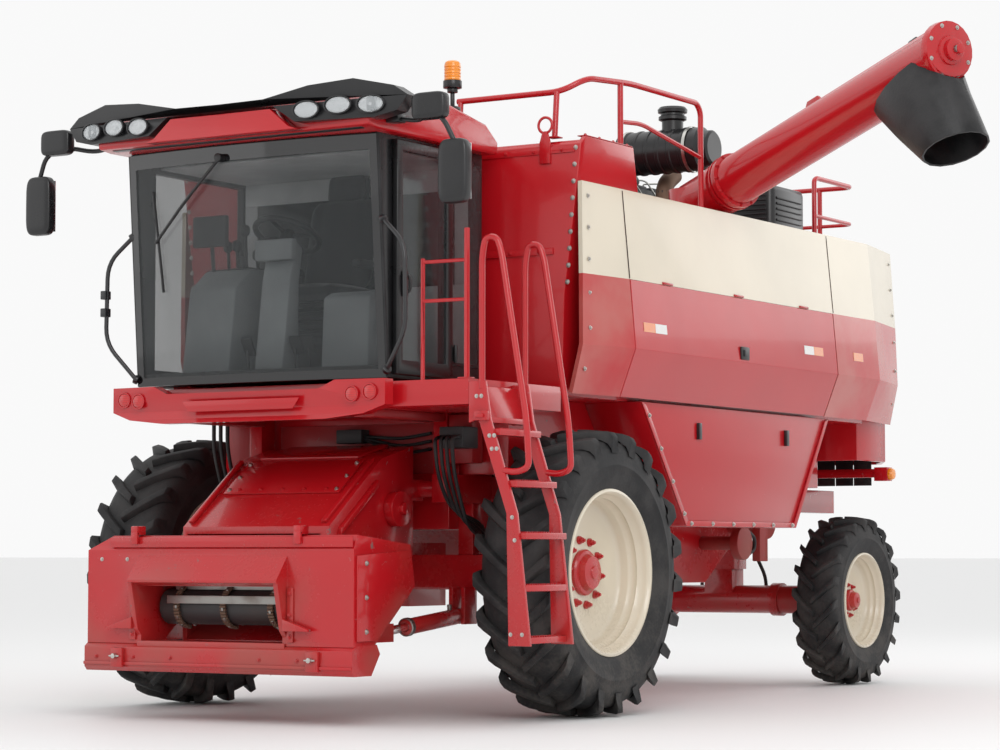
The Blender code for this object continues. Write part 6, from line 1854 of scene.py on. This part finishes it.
# ---- engine bay -------------------------------------------------------------------------------
@dataclass
class EngineBay:
    """Engine block with its pipes, air cleaner and cooling housing."""

    deck: float = 2.70

    def engine(self) -> None:
        """Block, head, ribs, injector lines, turbo and exhaust."""
        refine("engine", IRON, 0.012)
        parts = Shaper("engine_castings", MAIN, IRON, 0.006)
        for k in range(7):
            y = 2.22 + k * 0.155
            parts.box((-0.415, y, 2.78), (-0.4005, y + 0.03, 3.15))
            parts.box((0.4205, y, 2.78), (0.435, y + 0.03, 3.00))
        for k in range(4):
            y = 2.32 + k * 0.21
            parts.box((-0.16, y, 3.3605), (0.20, y + 0.15, 3.395), 0.012)
        parts.rod((-0.30, 2.149, 2.95), (-0.30, 2.07, 2.95), 0.12, sides=36)
        parts.rod((0.02, 2.149, 3.05), (0.02, 2.06, 3.05), 0.16, sides=36)
        parts.rod((0.28, 2.149, 2.88), (0.28, 2.08, 2.88), 0.09, sides=32)
        parts.done()
        turbo = Shaper("turbocharger", MAIN, RUSTY, 0.004)
        turbo.lathe([(0.0, 0.0), (0.06, 0.0), (0.145, 0.03), (0.155, 0.07), (0.13, 0.12), (0.07, 0.14),
                     (0.0, 0.14)],
                    (0.46, 2.52, 3.02), (1, 0, 0), 40)
        turbo.pipe([(0.53, 2.52, 3.10), (0.53, 2.52, 3.34), (0.53, 2.66, 3.42)], 0.057, 0.08, 20)
        turbo.pipe([(0.42, 2.60, 2.98), (0.47, 2.80, 3.02), (0.44, 3.10, 3.00)], 0.045, 0.12, 16)
        turbo.done()
        lines = Shaper("engine_lines", MAIN, ZINC, 0.0)
        for k in range(4):
            y = 2.38 + k * 0.21
            lines.pipe([(0.10, y, 3.395), (0.10, y, 3.43), (0.22, y + 0.03, 3.43), (0.30, y + 0.05, 3.30),
                        (0.34, y + 0.05, 3.2205)],
                       0.006, 0.04, 8)
        lines.done()
        belt = Shaper("fan_belt", MAIN, HOSE, 0.002)
        belt.pipe([(-0.42, 2.10, 2.95), (-0.10, 2.10, 3.22), (0.14, 2.10, 3.22), (0.37, 2.10, 2.88),
                   (0.28, 2.10, 2.79),
                   (-0.34, 2.10, 2.83)], 0.010, 0.12, 8, closed=True)
        belt.done()

    def cleaner(self) -> None:
        """Ribbed air cleaner with its inlet stack and end cap."""
        body = Shaper("air_cleaner_body", MAIN, MOULDED, 0.004)
        profile = [(0.0, 0.28), (0.120, 0.28), (0.142, 0.30)]
        for k in range(6):
            x = 0.34 + k * 0.085
            profile += [(0.142, x), (0.148, x + 0.006), (0.148, x + 0.024), (0.142, x + 0.030)]
        profile += [(0.142, 0.885), (0.118, 0.90), (0.115, 0.955), (0.10, 0.968), (0.0, 0.968)]
        body.lathe([(r, x) for r, x in profile], (0.0, 2.40, 3.54), (1, 0, 0), 48)
        body.box((0.29, 2.36, 3.2204), (0.37, 2.44, 3.44))
        body.done("air_cleaner", angle=38.0)
        stack = Shaper("air_inlet", MAIN, MOULDED, 0.003)
        profile = [(0.0, 3.66), (0.070, 3.66), (0.070, 3.735), (0.092, 3.745), (0.092, 3.765), (0.078, 3.772),
                   (0.078, 3.785), (0.096, 3.792), (0.098, 3.812), (0.085, 3.828), (0.04, 3.832),
                   (0.0, 3.832)]
        stack.lathe([(r, z - 3.66) for r, z in profile], (0.66, 2.40, 3.66), (0, 0, 1), 40)
        stack.done(angle=38.0)
        clips = Shaper("air_cleaner_bands", MAIN, ZINC, 0.0015)
        for x in (0.335, 0.80):
            clips.lathe([(0.1485, 0.0), (0.152, 0.0), (0.152, 0.022), (0.1485, 0.022)], (x, 2.40, 3.54),
                        (1, 0, 0), 48)
        clips.done()
        duct = Shaper("air_duct", MAIN, HOSE, 0.0)
        duct.pipe([(0.30, 2.40, 3.54), (0.22, 2.42, 3.54), (0.16, 2.60, 3.50), (0.16, 2.75, 3.40)], 0.055,
                  0.12, 20)
        duct.done()

    def cooling(self) -> None:
        """Cooling housing with louvres on its sides and bars across its front, and the tanks, caps and pumps
        on the deck.
        """
        refine("cooling_housing", MOULDED, 0.0, 30.0)
        slat = Shaper("louvre", None, MOULDED, 0.0015)
        slat.box((0.0, 0.0, 0.0), (0.008, 0.40, 0.014))
        piece = loose(slat)
        for index, x in enumerate((0.8805, 0.3915)):
            shifted = piece.copy()
            shifted.data = piece.data.copy()
            shifted.data.transform(Matrix.Translation(Vector((x, 3.475, 2.80)) + ORIGIN))
            run = RepeatTree.of(Repeat.ROW)
            run.run(f"cooling_louvres_{index}", MAIN, MOULDED, shifted,
                    {"Count": 15, "Step": (0.0, 0.0, 0.038)})
            bpy.data.objects.remove(shifted)
        bpy.data.objects.remove(piece)
        bar = Shaper("grille_bar", None, BLACK, 0.001)
        bar.box((0.0, 0.0, 0.0), (0.38, 0.006, 0.010))
        piece = loose(bar)
        piece.data.transform(Matrix.Translation(Vector((0.45, 3.4145, 2.82)) + ORIGIN))
        RepeatTree.of(Repeat.ROW).run("cooling_front_bars", MAIN, BLACK, piece,
                                      {"Count": 18, "Step": (0.0, 0.0, 0.031)})
        bpy.data.objects.remove(piece)
        tank = Shaper("deck_tanks", MAIN, RED, 0.01)
        tank.box((-0.95, 2.30, self.deck + 0.0005), (-0.62, 3.20, 2.98), 0.03)
        tank.done()
        caps = Shaper("deck_caps", MAIN, MOULDED, 0.003)
        caps.rod((-0.80, 2.50, 2.975), (-0.80, 2.50, 3.02), 0.05)
        caps.pipe([(-0.62, 3.05, 2.80), (-0.50, 3.10, 2.80), (-0.4005, 3.10, 2.85)], 0.02, 0.05)
        caps.done()
        pump = Shaper("deck_pumps", MAIN, RED_WORN, 0.006)
        pump.rod((0.72, 2.95, 2.86), (1.02, 2.95, 2.86), 0.11, sides=28)
        pump.box((0.70, 2.84, self.deck + 0.0005), (1.04, 3.06, 2.78), 0.01)
        pump.rod((1.02, 2.95, 2.86), (1.06, 2.95, 2.86), 0.14, sides=32)
        pump.done()

    def build(self) -> None:
        """Build the engine bay."""
        self.engine()
        self.cleaner()
        self.cooling()


# ---- unloading auger --------------------------------------------------------------------------
@dataclass
class Auger:
    """Turret, tube, bearing disc and rubber spout of the unloading auger."""

    heading: float = math.radians(-26.0)
    rise: float = math.radians(14.5)
    reach: float = 2.476
    radius: float = 0.155
    disc_r: float = 0.168

    def build(self) -> None:
        """Build the auger."""
        ahead = Vector((math.cos(self.heading), math.sin(self.heading), 0.0))
        along = (ahead * math.cos(self.rise) + Vector((0, 0, math.sin(self.rise)))).normalized()
        head = Vector((1.08, 1.91, 3.10))
        end = head + along * self.reach
        across = Vector((-ahead.y, ahead.x, 0.0))
        refine("auger_turret", RED, 0.004)
        refine("auger_tube", RED, 0.003)
        refine("auger_spout", SKIRT, 0.002, 40.0)
        rings = Shaper("auger_rings", "auger", RED, 0.003)
        for s, out, wide in ((0.395, 0.022, 0.014), (0.447, 0.022, 0.014), (0.30, 0.008, 0.05)):
            r = self.radius
            rings.lathe([(r + 0.0005, 0.0), (r + out, 0.002), (r + out, wide - 0.002), (r + 0.0005, wide)],
                        tuple(head + along * s), tuple(along), 48)
        top = Matrix.Translation(head + along * 1.25 + Vector((0, 0, self.radius)))
        lengthwise = along.to_track_quat("X", "Z").to_matrix().to_4x4()
        rings.prism([(-0.09, 0.0), (0.09, 0.0), (0.05, 0.05), (-0.05, 0.05)], "X", -0.01, 0.01, None,
                    top @ lengthwise @ Matrix.Rotation(math.pi / 2, 4, "Z"))
        rings.done()
        base = head + along * 0.461
        upward = along.cross(across).normalized()
        spots = [base + (across * math.cos(a) + upward * math.sin(a)) * (self.radius + 0.012)
                 for a in (math.tau * k / 12 for k in range(12))]
        BOLTS.at("auger", [tuple(p) for p in spots], tuple(along), 0.008, RED)
        disc = end + ahead * 0.0205
        spots = [disc + (across * math.cos(a) + Vector((0, 0, math.sin(a)))) * (self.disc_r - 0.022)
                 for a in (math.tau * (k + 0.5) / 8 for k in range(8))]
        BOLTS.at("auger", [tuple(p) for p in spots], tuple(ahead), 0.009, ZINC)
        bearing = Shaper("auger_bearing_house", "auger", RED, 0.003)
        bearing.lathe([(0.0, 0.0), (0.085, 0.0), (0.080, 0.012), (0.062, 0.018), (0.062, 0.050),
                       (0.050, 0.056), (0.0, 0.056)],
                      tuple(disc), tuple(ahead), 40)
        bearing.rod(tuple(disc + ahead * 0.05 + across * 0.01), tuple(disc + ahead * 0.085 + across * 0.01),
                    0.028)
        bearing.done()
        shaft = Shaper("auger_shaft_end", "auger", STEEL, 0.002)
        shaft.rod(tuple(disc + ahead * 0.055), tuple(disc + ahead * 0.078), 0.022)
        shaft.done()
        clamp = Shaper("spout_clamp", "auger", BLACK, 0.002)
        clamp.rod(tuple(end - along * 0.30 + upward * 0.170 + across * 0.02),
                  tuple(end - along * 0.24 + upward * 0.172 + across * 0.02), 0.022)
        clamp.done()


# ---- lamps at the rear ------------------------------------------------------------------------
@dataclass
class RearLamps:
    """Amber turn lamps and red tail lamps on their arms."""

    y: float = 4.335

    def build(self) -> None:
        """Build both sides."""
        for side in Side:
            s = side.value
            lens = Shaper(f"turn_lamp_{side.word}", MAIN, AMBER, 0.004)
            lens.lathe([(0.0, 0.0), (0.042, 0.0), (0.044, 0.012), (0.034, 0.030), (0.0, 0.036)],
                       (s * 1.3405, 4.292, 1.4625),
                       (s, 0, 0), 32)
            lens.done(angle=40.0)
            tail = Shaper(f"tail_lamp_{side.word}", MAIN, RED_LENS, 0.005)
            low, high = side.span(1.25, 1.33)
            tail.box((low, self.y + 0.0005, 1.425), (high, self.y + 0.022, 1.50), 0.006)
            tail.done()


# ---- studio -----------------------------------------------------------------------------------
@dataclass
class Studio:
    """Pale floor, soft lights, the world and the camera."""

    eye: Point = (9.2919, -13.6382, 0.9101)
    azimuth: float = 31.849
    pitch: float = 3.658
    lens: float = 100.67

    def light(self, name: str, place: Point, target: Point, size: float, power: float,
              colour: Colour = (1.0, 1.0, 1.0)) -> None:
        """One square area light that looks at a point."""
        data = bpy.data.lights.new(name, "AREA")
        data.size, data.energy, data.color = size, power, colour
        lamp = bpy.data.objects.new(name, data)
        bpy.context.scene.collection.objects.link(lamp)
        lamp.location = Vector(place) + ORIGIN
        lamp.rotation_euler = (Vector(target) - Vector(place)).to_track_quat("-Z", "Y").to_euler()

    def build(self) -> None:
        """Build the studio."""
        bm = bmesh.new()
        bmesh.ops.create_grid(bm, x_segments=8, y_segments=8, size=500.0)
        mesh = bpy.data.meshes.new("studio_floor")
        bm.to_mesh(mesh)
        bm.free()
        mesh.materials.append(FLOOR.material())
        floor = bpy.data.objects.new("studio_floor", mesh)
        bpy.context.scene.collection.objects.link(floor)
        world = bpy.data.worlds.new("studio")
        bpy.context.scene.world = world
        world.use_nodes = True
        back = world.node_tree.nodes["Background"]
        back.inputs["Color"].default_value = (1.0, 1.0, 1.0, 1.0)
        back.inputs["Strength"].default_value = 0.95
        middle = (0.0, 1.2, 1.6)
        self.light("key", (9.0, -9.0, 9.0), middle, 7.0, 520.0)
        self.light("fill", (-9.0, -9.0, 5.0), middle, 7.0, 60.0)
        self.light("top", (0.0, 2.0, 12.0), middle, 9.0, 160.0)
        self.light("rear", (5.0, 13.0, 7.0), middle, 7.0, 160.0)
        data = bpy.data.cameras.new("camera")
        data.lens, data.sensor_width, data.clip_end = self.lens, 36.0, 1500.0
        camera = bpy.data.objects.new("camera", data)
        bpy.context.scene.collection.objects.link(camera)
        camera.location = Vector(self.eye) + ORIGIN
        camera.rotation_euler = (math.radians(90.0 + self.pitch), 0.0, math.radians(self.azimuth))
        bpy.context.scene.camera = camera
        bpy.context.scene.view_settings.view_transform = "Standard"


def main() -> None:
    """Build everything in order."""
    logging.basicConfig(level=logging.INFO, format="%(message)s")
    Studio().build()
    for side in Side:
        Wheel("front", side, 0.81, 0.467, 0.4575, 22, 0.042, 0.13, 10, 0.185).build()
        Wheel("rear", side, 0.59, 0.315, 0.323, 20, 0.032, 0.075, 8, 0.108).build()
    for part in (Bodywork(), SidePanels(), Feeder(), Cab(), CabInterior(), LadderAndRails(), EngineBay(),
                 Auger(),
                 RearLamps()):
        LOG.info("building %s", type(part).__name__)
        part.build()
    BOLTS.build()


if __name__ == "__main__":
    main()
